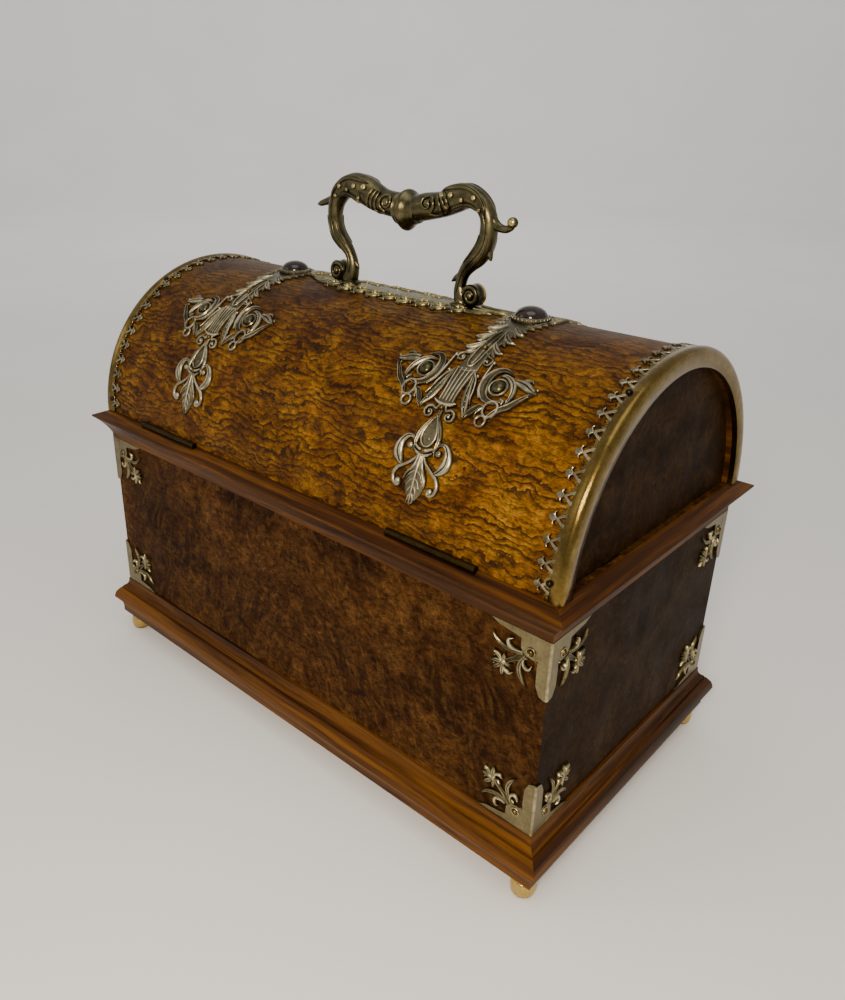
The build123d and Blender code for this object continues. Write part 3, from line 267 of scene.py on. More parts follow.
# Materials
class Finish:
    """A material whose nodes are made one after another."""

    def __init__(self, name, **sockets):
        self.material = bpy.data.materials.new(name)
        self.material.use_nodes = True
        self.tree = self.material.node_tree
        self.tree.nodes.clear()
        self.shader = self.tree.nodes.new("ShaderNodeBsdfPrincipled")
        output = self.tree.nodes.new("ShaderNodeOutputMaterial")
        self.tree.links.new(self.shader.outputs[0], output.inputs[0])
        for key, value in sockets.items():
            self.set(key.replace("_", " "), value)

    def set(self, key, value):
        self.join(self.shader.inputs[key], value)

    def join(self, socket, value):
        """Gives a socket a link, a colour or a number."""
        if isinstance(value, bpy.types.NodeSocket):
            self.tree.links.new(value, socket)
        elif isinstance(value, tuple) and len(value) == 3 and socket.type == "RGBA":
            socket.default_value = (*value, 1)
        else:
            socket.default_value = value

    def node(self, kind, inputs, output=0, **settings):
        """A new node's output, after its settings and inputs are given."""
        made = self.tree.nodes.new("ShaderNode" + kind)
        for key, value in settings.items():
            setattr(made, key, value)
        for key, value in inputs.items():
            self.join(made.inputs[key], value)
        return made.outputs[output]

    def place(self):
        return self.node("TexCoord", {}, "Object")

    def attribute(self, name, output="Fac"):
        return self.node("Attribute", {}, output, attribute_name=name)

    def scaled(self, vector, x, y, z):
        return self.node("VectorMath", {0: vector, 1: (x, y, z)}, operation="MULTIPLY")

    def noise(self, vector, scale, detail, rough=0.55, warp=0.0, output="Fac"):
        """Soft noise; a scale of three numbers also stretches it."""
        if isinstance(scale, tuple):
            vector, scale = self.scaled(vector, *scale), 1.0
        inputs = {"Vector": vector, "Scale": scale, "Detail": detail, "Roughness": rough, "Distortion": warp}
        return self.node("TexNoise", inputs, output)

    def warped(self, vector, scale, amount):
        """The place moved about by a soft noise."""
        drift = self.noise(vector, scale, 2.0, output="Color")
        return self.node("VectorMath", {0: drift, 1: (amount,) * 3, 2: vector}, operation="MULTIPLY_ADD")

    def ramp(self, factor, stops):
        """A value or colour for each place along a factor."""
        made = self.tree.nodes.new("ShaderNodeValToRGB")
        self.join(made.inputs[0], factor)
        elements = made.color_ramp.elements
        while len(elements) < len(stops):
            elements.new(0.5)
        for element, (at, tone) in zip(elements, stops):
            element.position = at
            element.color = (*tone, 1) if isinstance(tone, tuple) else (tone, tone, tone, 1)
        return made.outputs[0]

    def mix(self, factor, a, b, mode="MIX"):
        made = self.tree.nodes.new("ShaderNodeMix")
        made.data_type, made.blend_type = "RGBA", mode
        for index, value in ((0, factor), (6, a), (7, b)):
            self.join(made.inputs[index], value)
        return made.outputs[2]

    def shade(self, amount, colour, factor):
        """A colour that is darkened by a factor, so far as the amount says."""
        return self.mix(amount, colour, self.mix(1.0, colour, factor, "MULTIPLY"))

    def axis(self, vector, name):
        """One coordinate of a place or direction."""
        return self.node("SeparateXYZ", {0: vector}, name)

    def calc(self, operation, a, b=0.0, clamp=False):
        return self.node("Math", {0: a, 1: b}, operation=operation, use_clamp=clamp)

    def times(self, a, b):
        return self.calc("MULTIPLY", a, b)

    def plus(self, a, b):
        return self.calc("ADD", a, b)

    def bump(self, height, strength, distance):
        self.set("Normal", self.node("Bump", {"Height": height, "Strength": strength,
                                              "Distance": distance}))


def ripples(f, vector, pitch, patch_size):
    """Dark wavy lines across the second axis, sharp on one side and shaded off on the other."""
    slow = f.noise(vector, (42, 66, 66), 2.0)
    quick = f.noise(vector, (190, 260, 260), 3.0)
    turns = f.plus(f.calc("DIVIDE", f.axis(vector, "Y"), pitch), f.times(slow, 4.6))
    turns = f.plus(turns, f.times(quick, 1.9))
    edge = f.calc("FRACT", turns)
    dark = f.ramp(edge, [(0.0, 0.0), (0.22, 0.10), (0.56, 0.40), (0.80, 1.0), (0.96, 1.0), (1.0, 0.0)])
    patch = f.noise(vector, patch_size, 3.0, 0.6)
    return f.times(dark, f.ramp(patch, [(0.32, 0.30), (0.47, 0.85), (0.60, 1.0)]))


def feathers(f, vector):
    """Soft upright streaks that lean and flow about, from 0 to 1."""
    lean = f.node("VectorMath", {0: f.axis(vector, "Z"), 1: (0.3, 0.3, 0.0), 2: vector},
                  operation="MULTIPLY_ADD")
    streak = f.noise(f.warped(lean, 24.0, 0.016), (240, 240, 50), 5.0, 0.60, 1.0)
    return f.ramp(streak, [(0.47, 0.0), (0.66, 1.0)])


def burr(name, vector_of, tones, pitch, patch_size, spread, gloss, rough, shine, ridge_shade=0.0, ends=None):
    """Polished burr veneer: mottled tones crossed by fine dark wavy lines, with ends on its X faces."""
    f = Finish(name, Coat_Weight=gloss, Coat_Roughness=rough, Specular_IOR_Level=shine,
               Specular_Tint=(1.0, 0.62, 0.22, 1.0))
    vector = vector_of(f)
    dark = ripples(f, f.warped(vector, 30.0, 0.004), pitch, patch_size)
    blotch = f.noise(f.warped(vector, 60.0, 0.006), 46.0, 6.0, 0.66, 0.6)
    stops = (0.28, 0.43, 0.55, 0.72)
    colour = f.ramp(blotch, list(zip(stops, tones)))
    if ends:
        colour = f.mix(f.times(feathers(f, vector), 0.60), colour, tones[3])
        turned = f.axis(f.node("TexCoord", {}, "Normal"), "X")
        facing = f.ramp(f.calc("ABSOLUTE", turned), [(0.4, 0.0), (0.6, 1.0)])
        colour = f.mix(facing, colour, f.ramp(blotch, list(zip(stops, ends))))
    speck = f.noise(vector, (240, 420, 420), 4.0, 0.65, 0.5)
    colour = f.shade(0.8, colour, f.ramp(speck, [(0.36, 0.22), (0.47, 0.72), (0.56, 1.0), (0.68, 1.5)]))
    cloud = f.noise(vector, 13.0, 2.0)
    colour = f.shade(0.6, colour, f.ramp(cloud, [(0.35, 0.55), (0.62, 1.0)]))
    colour = f.mix(f.times(dark, spread), colour, LINE)
    # Painted shade: the veneer is darkened towards the ridge of the dome, by up to the given share.
    if ridge_shade:
        arc = f.calc("ABSOLUTE", f.axis(vector, "Y"))
        wear_and_painted_light = f.ramp(f.times(arc, 8.0), [(0.12, 1.0 - ridge_shade), (0.70, 1.0)])
        colour = f.mix(1.0, colour, wear_and_painted_light, "MULTIPLY")
    pores = f.noise(vector, (700, 2000, 2000), 2.0)
    f.set("Base Color", f.shade(0.7, colour, f.ramp(pores, [(0.38, 0.35), (0.50, 1.0)])))
    f.set("Roughness", f.ramp(f.noise(vector, 60.0, 3.0), [(0.3, 0.42), (0.7, 0.55)]))
    f.bump(f.plus(f.times(dark, -0.6), f.noise(vector, 240.0, 3.0)), 0.12, 0.0004)
    return f.material


def straight_wood(name, axis, tones, gloss, spread=1.0):
    """Straight-grained wood with its grain along X or Y."""
    f = Finish(name, Coat_Weight=gloss, Coat_Roughness=0.2, Specular_IOR_Level=0.13,
               Specular_Tint=(1.0, 0.72, 0.40, 1.0))
    fine, run = 260.0, 9.0
    stretch = np.array({"x": (run, fine, fine), "y": (fine, run, fine)}[axis])
    vector = f.warped(f.place(), 14.0, 0.004)
    streak = f.noise(vector, tuple(stretch), 5.0, 0.62, 0.4)
    broad = f.noise(vector, tuple(0.16 * stretch), 3.0, 0.5, 0.5)
    both = f.plus(f.times(streak, 0.55), f.times(broad, 0.45))
    colour = f.ramp(both, [(0.36, tones[0]), (0.48, tones[1]), (0.60, tones[2])])
    pore = f.noise(vector, tuple(3.2 * stretch), 2.0)
    f.set("Base Color", f.shade(0.7 * spread, colour, f.ramp(pore, [(0.30, 0.45), (0.44, 1.0)])))
    f.set("Roughness", f.ramp(streak, [(0.3, 0.36), (0.7, 0.52)]))
    f.bump(streak, 0.14, 0.0003)
    return f.material


def aged_metal(name, tones, rough=(0.26, 0.44), grain=0.12, brush=None):
    """Old brass: dark in the hollows, rubbed bright on the high parts, with a soft mottle."""
    f = Finish(name, Metallic=1.0)
    vector = f.place()
    mottle = f.noise(vector, 160.0, 5.0, 0.62)
    spots = f.noise(vector, 900.0, 3.0, 0.6)
    edge = f.ramp(f.node("NewGeometry", {}, "Pointiness"), [(0.47, 0.0), (0.53, 1.0)])
    high = f.times(f.attribute("relief"), 0.62)
    level = f.plus(high, f.times(edge, 0.26))
    level = f.calc("ADD", level, f.times(f.calc("SUBTRACT", mottle, 0.5), 0.7), True)
    colour = f.ramp(level, [(0.0, tones[0]), (0.36, tones[1]), (0.68, tones[2]), (0.95, tones[3])])
    f.set("Base Color", f.shade(0.35, colour, f.ramp(spots, [(0.35, 0.4), (0.6, 1.0)])))
    f.set("Roughness", f.ramp(mottle, [(0.3, rough[0]), (0.72, rough[1])]))
    height = spots
    if brush:
        lines = f.noise(vector, brush, 3.0, 0.7)
        height = f.plus(f.times(spots, 0.3), lines)
    f.bump(height, grain, 0.0003)
    return f.material


def stone_finish():
    """Polished dark stone with faint brown swirls."""
    f = Finish("polished_stone", Roughness=0.12, Specular_IOR_Level=0.35, Coat_Weight=0.25,
               Coat_Roughness=0.03)
    swirl = f.noise(f.warped(f.place(), 90.0, 0.006), 210.0, 5.0, 0.6, 1.2)
    f.set("Base Color", f.ramp(swirl, [(0.3, (0.003, 0.002, 0.002)), (0.55, (0.014, 0.007, 0.004)),
                                       (0.75, (0.050, 0.022, 0.010))]))
    return f.material


def velvet_finish(deep, lit):
    """Crushed velvet between a deep and a lit tone."""
    f = Finish("red_velvet", Roughness=0.95, Sheen_Weight=0.9, Sheen_Roughness=0.35,
               Sheen_Tint=(0.95, 0.42, 0.40, 1.0))
    nap = f.noise(f.place(), 2600.0, 2.0, 0.7)
    crush = f.noise(f.warped(f.place(), 40.0, 0.01), 55.0, 4.0, 0.6, 0.8)
    colour = f.mix(f.ramp(crush, [(0.35, 0.35), (0.65, 0.85)]), deep, lit)
    f.set("Base Color", f.shade(0.5, colour, nap))
    f.bump(f.plus(nap, f.times(crush, 0.6)), 0.5, 0.0004)
    return f.material


def silk_finish():
    """Red silk with a fine weave and uneven threads."""
    f = Finish("quilted_silk", Roughness=0.34, Sheen_Weight=0.4, Sheen_Roughness=0.3, Anisotropic=0.5)
    weave = f.noise(f.place(), (500, 6000, 6000), 2.0, 0.7)
    slub = f.noise(f.place(), (60, 1500, 1500), 3.0, 0.7)
    colour = f.ramp(slub, [(0.3, (0.150, 0.012, 0.014)), (0.7, (0.290, 0.030, 0.028))])
    f.set("Base Color", f.shade(0.35, colour, weave))
    f.bump(weave, 0.25, 0.0002)
    return f.material


def floor_finish():
    """A pale plain floor with a faint cloud."""
    f = Finish("studio_floor", Roughness=0.8)
    cloud = f.noise(f.place(), 3.0, 3.0)
    f.set("Base Color", f.ramp(cloud, [(0.3, (0.87, 0.86, 0.84)), (0.7, (0.91, 0.90, 0.88))]))
    return f.material


GOLDEN = [(0.058, 0.017, 0.002), (0.138, 0.048, 0.005), (0.242, 0.100, 0.009), (0.370, 0.178, 0.016)]
RED_BROWN = [(0.013, 0.004, 0.001), (0.042, 0.015, 0.004), (0.084, 0.033, 0.008), (0.140, 0.064, 0.017)]
GREY_BROWN = [(0.011, 0.005, 0.001), (0.022, 0.010, 0.003), (0.038, 0.018, 0.005), (0.060, 0.029, 0.008)]
LINE = (0.012, 0.004, 0.002)
MOULDING = [(0.010, 0.003, 0.001), (0.046, 0.015, 0.003), (0.138, 0.051, 0.006)]
MAHOGANY = [(0.045, 0.012, 0.005), (0.100, 0.030, 0.011), (0.165, 0.058, 0.020)]
PALE = [(0.024, 0.020, 0.011), (0.105, 0.088, 0.050), (0.240, 0.205, 0.125), (0.680, 0.600, 0.420)]
BRUSHED = [(0.060, 0.036, 0.009), (0.150, 0.094, 0.024), (0.290, 0.188, 0.050), (0.560, 0.390, 0.120)]
OLIVE = [(0.024, 0.019, 0.008), (0.105, 0.084, 0.038), (0.240, 0.196, 0.098), (0.640, 0.560, 0.350)]
BRONZE = [(0.014, 0.012, 0.006), (0.072, 0.062, 0.031), (0.190, 0.160, 0.078), (0.640, 0.520, 0.200)]
DARK = [(0.010, 0.008, 0.006), (0.030, 0.024, 0.018), (0.060, 0.048, 0.034), (0.120, 0.100, 0.070)]
STEEL = [(0.090, 0.088, 0.084), (0.200, 0.196, 0.188), (0.340, 0.335, 0.320), (0.560, 0.550, 0.530)]


def unrolled(f):
    """Places on the veneer of the dome as if it lay flat."""
    return f.attribute("grain", "Vector")


def matched(f):
    """Places on the long walls, mirrored about the joint between two leaves of veneer."""
    joint_x = 0.006
    moved = f.node("VectorMath", {0: f.place(), 1: (-joint_x, 0, 0)}, operation="ADD")
    return f.node("VectorMath", {0: moved}, operation="ABSOLUTE")


def darker(tones, share):
    """Tones of the same kind at a share of their brightness."""
    return [tuple(share * v for v in tone) for tone in tones]


burr_lid = burr("burr_walnut_lid", unrolled, GOLDEN, pitch=0.0036, patch_size=(38, 110, 110),
                spread=0.88, gloss=0.04, rough=0.15, shine=0.11, ridge_shade=0.35)
burr_walls = burr("burr_walnut_walls", matched, RED_BROWN, pitch=0.0052, patch_size=(70, 70, 24),
                  spread=0.42, gloss=0.0, rough=0.2, shine=0.03, ends=GREY_BROWN)
moulding_x, moulding_y = (straight_wood(f"moulding_along_{axis}", axis, MOULDING, 0.05, 1.3)
                          for axis in "xy")
inside_x, inside_y = (straight_wood(f"mahogany_along_{axis}", axis, MAHOGANY, 0.25) for axis in "xy")
pale_brass = aged_metal("pale_pierced_brass", PALE)
mount_brass = aged_metal("aged_mount_brass", OLIVE)
brushed_brass = aged_metal("brushed_band_brass", darker(BRUSHED, 0.68), (0.17, 0.27), 0.16,
                           (5200, 160, 160))
cast_brass = aged_metal("cast_handle_brass", BRONZE, (0.22, 0.40), 0.20)
dark_metal = aged_metal("dark_screw_heads", DARK)
dark_brass = aged_metal("dark_hinge_brass", darker(BRUSHED, 0.35))
steel = aged_metal("dull_steel", STEEL)
plain_brass = aged_metal("turned_brass", BRUSHED, (0.20, 0.36), 0.08)
stone = stone_finish()
velvet = velvet_finish((0.060, 0.004, 0.008), (0.150, 0.010, 0.016))
silk = silk_finish()


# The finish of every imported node
FINISHES = (
    (burr_walls, "wall_front wall_back wall_left wall_right lid_end_left lid_end_right"),
    (moulding_x, "plinth_front plinth_back cornice_front cornice_back lid_dome"),
    (moulding_y, "plinth_left plinth_right cornice_left cornice_right"),
    (inside_x, "base_board tray_bearers lid_rail_front lid_rail_back tray_front tray_back tray_base"),
    (inside_y, "tray_left tray_right tray_dividers"),
    (plain_brass, "tray_knobs lock_face_plate lock_link_plate stay_plates lid_stays body_screws "
                  "lid_screws mount_pins strap_pins bun_feet escutcheon"),
    (dark_brass, "hinge_lower_leaf_left hinge_lower_leaf_right hinge_upper_leaf_left "
                 "hinge_upper_leaf_right hinge_pins"),
    (steel, "lock_case lock_bolt key"),
    (cast_brass, "handle handle_backplate handle_nuts"),
    (dark_metal, "band_screws"),
    (pale_brass, "strap_left strap_right"),
    (mount_brass, "upper_corner_mounts lower_corner_mounts"),
    (brushed_brass, "edge_band_left edge_band_right"),
    (stone, "cabochons"),
    (velvet, "well_floor_pad well_linings ring_rolls tray_pads"),
    (silk, "lid_lining"),
)


def dress_nodes():
    """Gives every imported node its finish."""
    for material, names in FINISHES:
        for name in names.split():
            mesh = nodes[name].data
            mesh.materials.clear()
            mesh.materials.append(material)


# Lid: one sheet of burr veneer bent over the coopered shell
def lid_veneer():
    """A closed sheet over the shell, with the unrolled place of each point as its grain."""
    proud, sunk = 0.10, 0.30
    xs = np.linspace(-half_x, half_x, 57)
    outline = [(x, proud) for x in xs] + [(x, -sunk) for x in xs[::-1]]
    rows = np.array([[(x, arc, rise) for x, rise in outline]
                     for arc in np.linspace(-foot_arc, foot_arc, 145)])
    r = Relief(on_dome(0, 1))
    r.tube(rows)
    r.make("lid_veneer", "lid", burr_lid, "walnut_burr_lid", grain=rows * MM)


# Straps: the ornament of one slope, across and along from the ridge
def strap_pad(r):
    """The plain pad under the stone, with small leaf teeth along its edges."""
    r.plate(mirrored([(-17, 5.0), (-12, 7.0), (-7, 8.8), (0, 9.6)]), 0.9)
    for _ in r.both_sides():
        for i in range(-4, 5):
            along = i * 3.6
            half = 8.9 - 0.014 * along ** 2
            lean = 0.9 if along >= 0 else -0.9
            r.strip([(half - 1.6, along - lean, 0.9), (half + 0.6, along, 1.0),
                     (half + 2.4, along + lean, 0.25)], 1.35)
        r.strip(mirrored([(4.4, -17, 0.3), (6.2, -12, 0.3), (7.6, -7, 0.3), (8.2, 0, 0.3)], 1), 0.5,
                base=0.8)


def strap_neck(r):
    """The leafy neck with a long raised tongue."""
    r.plate([(14, 5.6), (20, 5.0), (26, 4.3), (32, 4.0), (38, 4.2), (44.5, 4.6)], 0.85)
    for _ in r.both_sides():
        for root, reach, wide in ((17.5, 9.2, 1.7), (24.5, 9.6, 1.6), (32.0, 9.0, 1.5)):
            r.strip([(2.2, root - 4.5, 0.8), (4.6, root - 1.6, wide),
                     (7.2, root + 0.2, wide * 0.8), (reach, root + 0.4, 0.15)], 1.5, "leaf")
            r.strip([(3.4, root - 0.8, 0.4), (5.6, root + 1.9, 0.9), (7.0, root + 3.4, 0.12)], 1.2)
        r.scroll([(2.4, 33.5, 0.4), (4.4, 35.2, 0.55)], (5.9, 38.2), 2.5,
                 -0.25, 1.05, 1.35, 0.6, 0.45, 0.75)
    tongue = [(-1.2, 18, 0.3), (-2.0, 24, 0.34), (-2.2, 31, 0.36), (-2.1, 38, 0.36), (-1.4, 41, 0.36),
              (0, 42.3, 0.36)]
    r.strip(mirrored(tongue), 0.7, base=0.75)
    r.strip([(0, 21, 0.2), (0, 30, 0.55), (0, 38.5, 0.9), (0, 40.6, 0.2)], 0.45, base=0.75)


def strap_shield(r):
    """A tapered fluted shield that ends in a lip."""
    r.plate([(43, 4.4), (47, 4.2), (52, 3.6), (57, 3.5), (60, 4.0)], 1.0)
    for u0, u1 in ((-3.9, -3.1), (-2.0, -1.6), (0, 0), (2.0, 1.6), (3.9, 3.1)):
        r.strip([(u0, 43.6, 0.35), (u0 * 0.9, 48, 0.42), (u1, 54, 0.42), (u1, 59.2, 0.36)], 0.55,
                base=0.9)
    r.strip(mirrored([(-5.2, 59.4, 0.3), (-3.0, 60.4, 0.85), (0, 60.8, 0.95)]), 1.9)
    r.strip(mirrored([(-4.0, 43.6, 0.3), (0, 44.6, 0.5)]), 0.5, base=0.9)


lobe_eye = (17.5, 48.0)


def strap_lobe(r):
    """One side of the cartouche: a boss in a ring, a large scroll and its pointed leaf."""
    r.turned(*lobe_eye, [(4.1, 0), (4.1, 0.9), (3.7, 1.35), (3.3, 1.2), (3.0, 0.6), (0.03, 0.6)])
    r.strip([(20.6, 41.5, 0.25), (17.8, 40.3, 0.7), (14.6, 40.5, 1.15), (12.3, 42.8, 1.6),
             (11.6, 46.4, 1.9), (12.2, 50.2, 1.9), (14.2, 53.4, 1.5), (17.2, 54.9, 1.1),
             (20.4, 54.6, 0.7), (22.6, 52.8, 0.2)], 1.6, "rimmed", steps=5)
    r.strip([(15.2, 42.9, 0.3), (18.6, 42.6, 1.0), (22.2, 44.8, 1.5), (24.2, 48.4, 1.4),
             (24.6, 52.2, 0.8), (23.8, 54.8, 0.2)], 1.5, "leaf", steps=5)
    r.strip([(12.6, 54.6, 0.35), (10.4, 51.0, 0.6), (9.5, 46.5, 0.6), (9.2, 41.6, 0.55),
             (9.1, 38.6, 0.4)], 1.5)
    r.boss(9.1, 37.8, 0.9, 1.6)
    r.boss(6.9, 45.9, 0.75, 1.8)
    loop = [(19.6 + 2.9 * cos(a), 57.6 + 3.3 * sin(a), 0.7) for a in np.linspace(0, tau, 21)]
    r.strip(loop, 1.5, steps=1)
    r.strip([(22.9, 54.6, 0.3), (22.7, 53.2, 0.8), (21.4, 52.6, 0.6)], 1.4)
    r.strip([(17.0, 56.8, 0.5), (15.4, 58.6, 0.8), (14.6, 61.0, 0.3)], 1.3)
    r.strip([(23.2, 43.6, 1.4), (27.0, 44.2, 2.2), (30.6, 45.8, 1.5), (33.6, 46.6, 0.25)], 1.5, "leaf",
            steps=5)
    r.strip([(26.2, 42.2, 0.7), (28.6, 41.7, 0.7), (30.2, 43.0, 0.2)], 1.3)
    r.boss(33.0, 45.0, 0.75, 1.4)
    r.boss(30.6, 47.9, 0.6, 1.2)
    r.strip([(32.6, 47.0, 0.2), (29.4, 50.6, 0.9), (26.2, 54.6, 1.25), (22.6, 57.6, 1.0),
             (20.4, 61.0, 0.7), (19.6, 62.2, 0.3)], 1.5, "rimmed", steps=5)
    r.ring(18.0, 62.9, 2.1, 0.7, 1.4)


def strap_leaves(r):
    """The frosted leaves on one side of the shield, which meet those of the other below it."""
    r.strip([(4.4, 45.0, 0.6), (5.6, 48.6, 1.1), (6.4, 53.0, 1.7), (8.0, 58.0, 1.9),
             (9.7, 61.6, 1.2), (10.6, 64.2, 0.15)], 1.25, "leaf", steps=5)
    r.strip([(16.2, 57.2, 0.4), (14.4, 58.0, 1.0), (12.4, 60.6, 1.3), (10.4, 64.4, 0.15)], 1.35,
            "rimmed", steps=5)
    r.strip([(4.6, 44.8, 0.5), (7.0, 47.6, 0.55), (8.6, 51.6, 0.5), (9.4, 55.4, 0.4),
             (10.6, 58.2, 0.25)], 1.5, steps=5)
    for i in range(5):
        r.boss(5.9 + 0.75 * i, 50.5 + 2.3 * i, 0.36, 0.5, 1.0, 8)
    r.scroll([(0.9, 60.5, 0.5), (1.8, 62.0, 0.65)], (4.7, 65.0), 2.9, 0.62, 1.25, 1.5, 0.75, 0.5, 0.9)


def strap_drop(r):
    """The stem, the pear-shaped drop with its side leaves and the collar."""
    r.strip([(0, 60.4, 1.3), (0, 63.5, 1.0), (0, 66.5, 1.2)], 1.2, "leaf")
    for _ in r.both_sides():
        r.strip([(0.8, 66.0, 0.4), (3.0, 69.5, 0.85), (4.7, 73.6, 1.1),
                 (4.9, 77.6, 0.9), (3.6, 79.6, 0.3)], 1.25, "leaf", steps=5)
    r.plate([(66, 0.5), (69, 1.9), (72.5, 3.0), (75.4, 3.1), (77.4, 1.9), (78.4, 0.4)], 0.75)
    half = [(0, 65.6, 0.35), (1.5, 68.3, 0.42), (2.9, 72.0, 0.48), (3.1, 75.0, 0.5),
            (1.9, 77.3, 0.48), (0, 78.2, 0.45)]
    r.strip(mirrored(half), 0.95, base=0.55)
    r.boss(0, 75.0, 0.8, 0.35, 0.7)
    for along, height in ((79.4, 1.9), (81.2, 1.5)):
        r.strip(mirrored([(-4.3, along - 1.3, 0.35), (-2.2, along - 0.1, 0.8), (0, along + 0.3, 0.9)]),
                height, steps=5)


def strap_fleur(r):
    """The lily: two curled petals, two lower curls and a veined leaf."""
    for _ in r.both_sides():
        r.strip([(5.4, 80.7, 0.45), (4.8, 78.2, 0.6), (6.4, 75.9, 0.8), (9.2, 76.0, 1.2),
                 (11.4, 78.9, 1.8), (11.6, 82.6, 2.3), (9.6, 85.6, 1.7), (7.2, 87.2, 0.25)], 1.55,
                "leaf", steps=6)
        r.boss(6.9, 79.2, 1.45, 1.6)
        r.scroll([(1.2, 81.6, 0.5), (3.4, 84.4, 0.7), (6.6, 86.8, 0.85),
                  (9.4, 88.6, 0.9), (10.7, 91.4, 0.9), (9.9, 94.2, 0.85)],
                 (7.9, 93.6), 1.6, 0.25, 0.35, 1.5, 0.8, 0.6, 1.5)
        r.strip([(1.0, 81.5, 0.5), (2.0, 86.0, 0.75), (4.4, 89.5, 0.6), (5.4, 92.4, 0.15)], 1.5, steps=5)
        for i in range(4):
            v = 87.6 + 2.9 * i
            out = 3.9 - 0.75 * i
            r.strip([(0.2, v, 0.22), (out * 0.6, v + 1.3, 0.3), (out, v + 3.6, 0.12)], 0.55, base=0.95)
    r.plate([(81, 0.9), (84.5, 1.7), (88, 3.3), (91.5, 4.9), (94.4, 4.6), (97.6, 2.8), (99.8, 1.4),
             (101.4, 0.1)], 1.25, "leaf", steps=5)
    r.strip([(0, 82.0, 0.5), (0, 90.0, 0.45), (0, 97.0, 0.3), (0, 101.0, 0.1)], 0.75, base=0.9)


def strap_studs():
    """The darker polished studs in the middle of the scrolls."""
    r = Relief()
    for x in (-strap_x, strap_x):
        for slope in (-1, 1):
            r.place = on_dome(x, slope)
            for _ in r.both_sides():
                r.boss(*lobe_eye, 2.6, 2.0, 0.5, 20, 7.0)
    r.make("strap_studs", "lid", cast_brass, "pierced_brass")


def straps():
    """The two straps over the dome, the same on both slopes."""
    strap_studs()
    for name, x in (("left", -strap_x), ("right", strap_x)):
        r = Relief(on_dome(x, -1))
        strap_pad(r)
        for slope in (-1, 1):
            r.place = on_dome(x, slope)
            strap_neck(r)
            strap_shield(r)
            for _ in r.both_sides():
                strap_lobe(r)
                strap_leaves(r)
            strap_drop(r)
            strap_fleur(r)
        r.make(f"strap_ornament_{name}", "lid", pale_brass, "pierced_brass", [f"strap_{name}"])


def cabochon_stones():
    """The two domed stones, each in a serrated setting."""
    teeth, girdle = 26, 0.9
    rise = stone_high[2] - stone_z - girdle
    dome = [(max(0.98 * stone_r * cos(a), 0.05), girdle + rise * sin(a))
            for a in np.linspace(0, pi / 2, 14)]
    bezel = [(stone_r + 1.3, -0.9), (stone_r + 1.3, 0.4), (stone_r + 0.6, 0.9),
             (stone_r * 0.97, 1.3), (stone_r * 0.93, 1.1), (stone_r * 0.93, -0.9)]
    stones, settings = Relief(), Relief()
    for x in (-strap_x, strap_x):
        stones.place = settings.place = on_face((x, 0, stone_z), X, Y, Z)
        stones.turned(0, 0, [(stone_r * 0.96, -0.5)] + dome, 48)
        settings.turned(0, 0, bezel, 48)
        for i in range(teeth):
            a = tau * i / teeth
            settings.boss((stone_r + 0.9) * cos(a), (stone_r + 0.9) * sin(a), 0.55, 1.1, 0.2, 8)
    stones.make("cabochon_stones", "lid", stone, "dark_stone", ["cabochons"], 60)
    settings.make("stone_settings", "lid", pale_brass, "pierced_brass")


# End bands: a brushed angle bent round the arch, with a cut fringe
fringe_reach = 7.2
band_inner = band_low[0] + fringe_reach
band_foot = foot_arc - 0.3


def band_sweep(r):
    """The band's section carried round the arch, with a full rolled edge."""
    t, lap, roll = band_t, 7.3, 2.8
    face, crest = half_x + t + 1.5, t + 0.5
    top = [(band_inner, 0.0), (band_inner, 0.8 * t), (band_inner + 0.25, t), (face - roll, crest)]
    turn = [(face - roll + roll * sin(a), crest - roll + roll * cos(a))
            for a in np.linspace(0.16, pi / 2, 9)]
    down = [(face, -lap + t + 0.5), (face - 0.35, -lap + t), (half_x, -lap + t), (half_x, 0.0)]
    section = np.array(top + turn + down)
    arcs = np.linspace(-band_foot, band_foot, 121)
    # Painted highlight and shade: the rolled edge gets the brightest brass tones, and the flat lap and the
    # inner part of the end flange get darker ones.
    wear_and_painted_light = np.interp(section[:, 1], [-lap, -2.0, 0, t], [0.55, 0.72, 1.0, 0.66])
    r.tube([[(x, arc, h) for x, h in section] for arc in arcs], wear_and_painted_light)


def band_cusps(r, arc):
    """The teeth of one scalloped bay beside a motif of the fringe."""
    for s in (-1, 1):
        for cusp, reach, size in ((1.5, 1.5, 0.9), (2.6, 2.0, 0.85), (3.5, 1.1, 0.6)):
            r.strip([(band_inner + 0.5, arc + cusp * s, size),
                     (band_inner - 0.45 * reach, arc + (cusp + 0.04) * s, 0.6 * size),
                     (band_inner - reach, arc + (cusp + 0.1) * s, 0.1)], 0.95 * band_t, "flat", steps=3)


def fringe_motif(r, arc):
    """Two legs that meet in a neck with bent arms and a flat round head."""
    def at(out, along, half):
        return band_inner - out, arc + along, half
    t = 1.05 * band_t
    for s in (-1, 1):
        r.strip([at(-0.8, 2.0 * s, 0.7), at(0.6, 1.5 * s, 0.55), at(1.9, 0.6 * s, 0.5), at(2.8, 0, 0.5)],
                t, "flat", steps=4)
        r.strip([at(3.3, 0.1 * s, 0.5), at(4.1, 0.95 * s, 0.5), at(4.1, 1.9 * s, 0.42),
                 at(3.4, 2.4 * s, 0.12)], t, steps=4)
    r.strip([at(2.4, 0, 0.45), at(3.4, 0, 0.5), at(4.4, 0, 0.55)], t, steps=3)
    r.turned(band_inner - 5.0, arc, [(1.3, 0), (1.3, 0.6 * t), (0.95, 0.85 * t), (0.03, 0.8 * t)], 14)


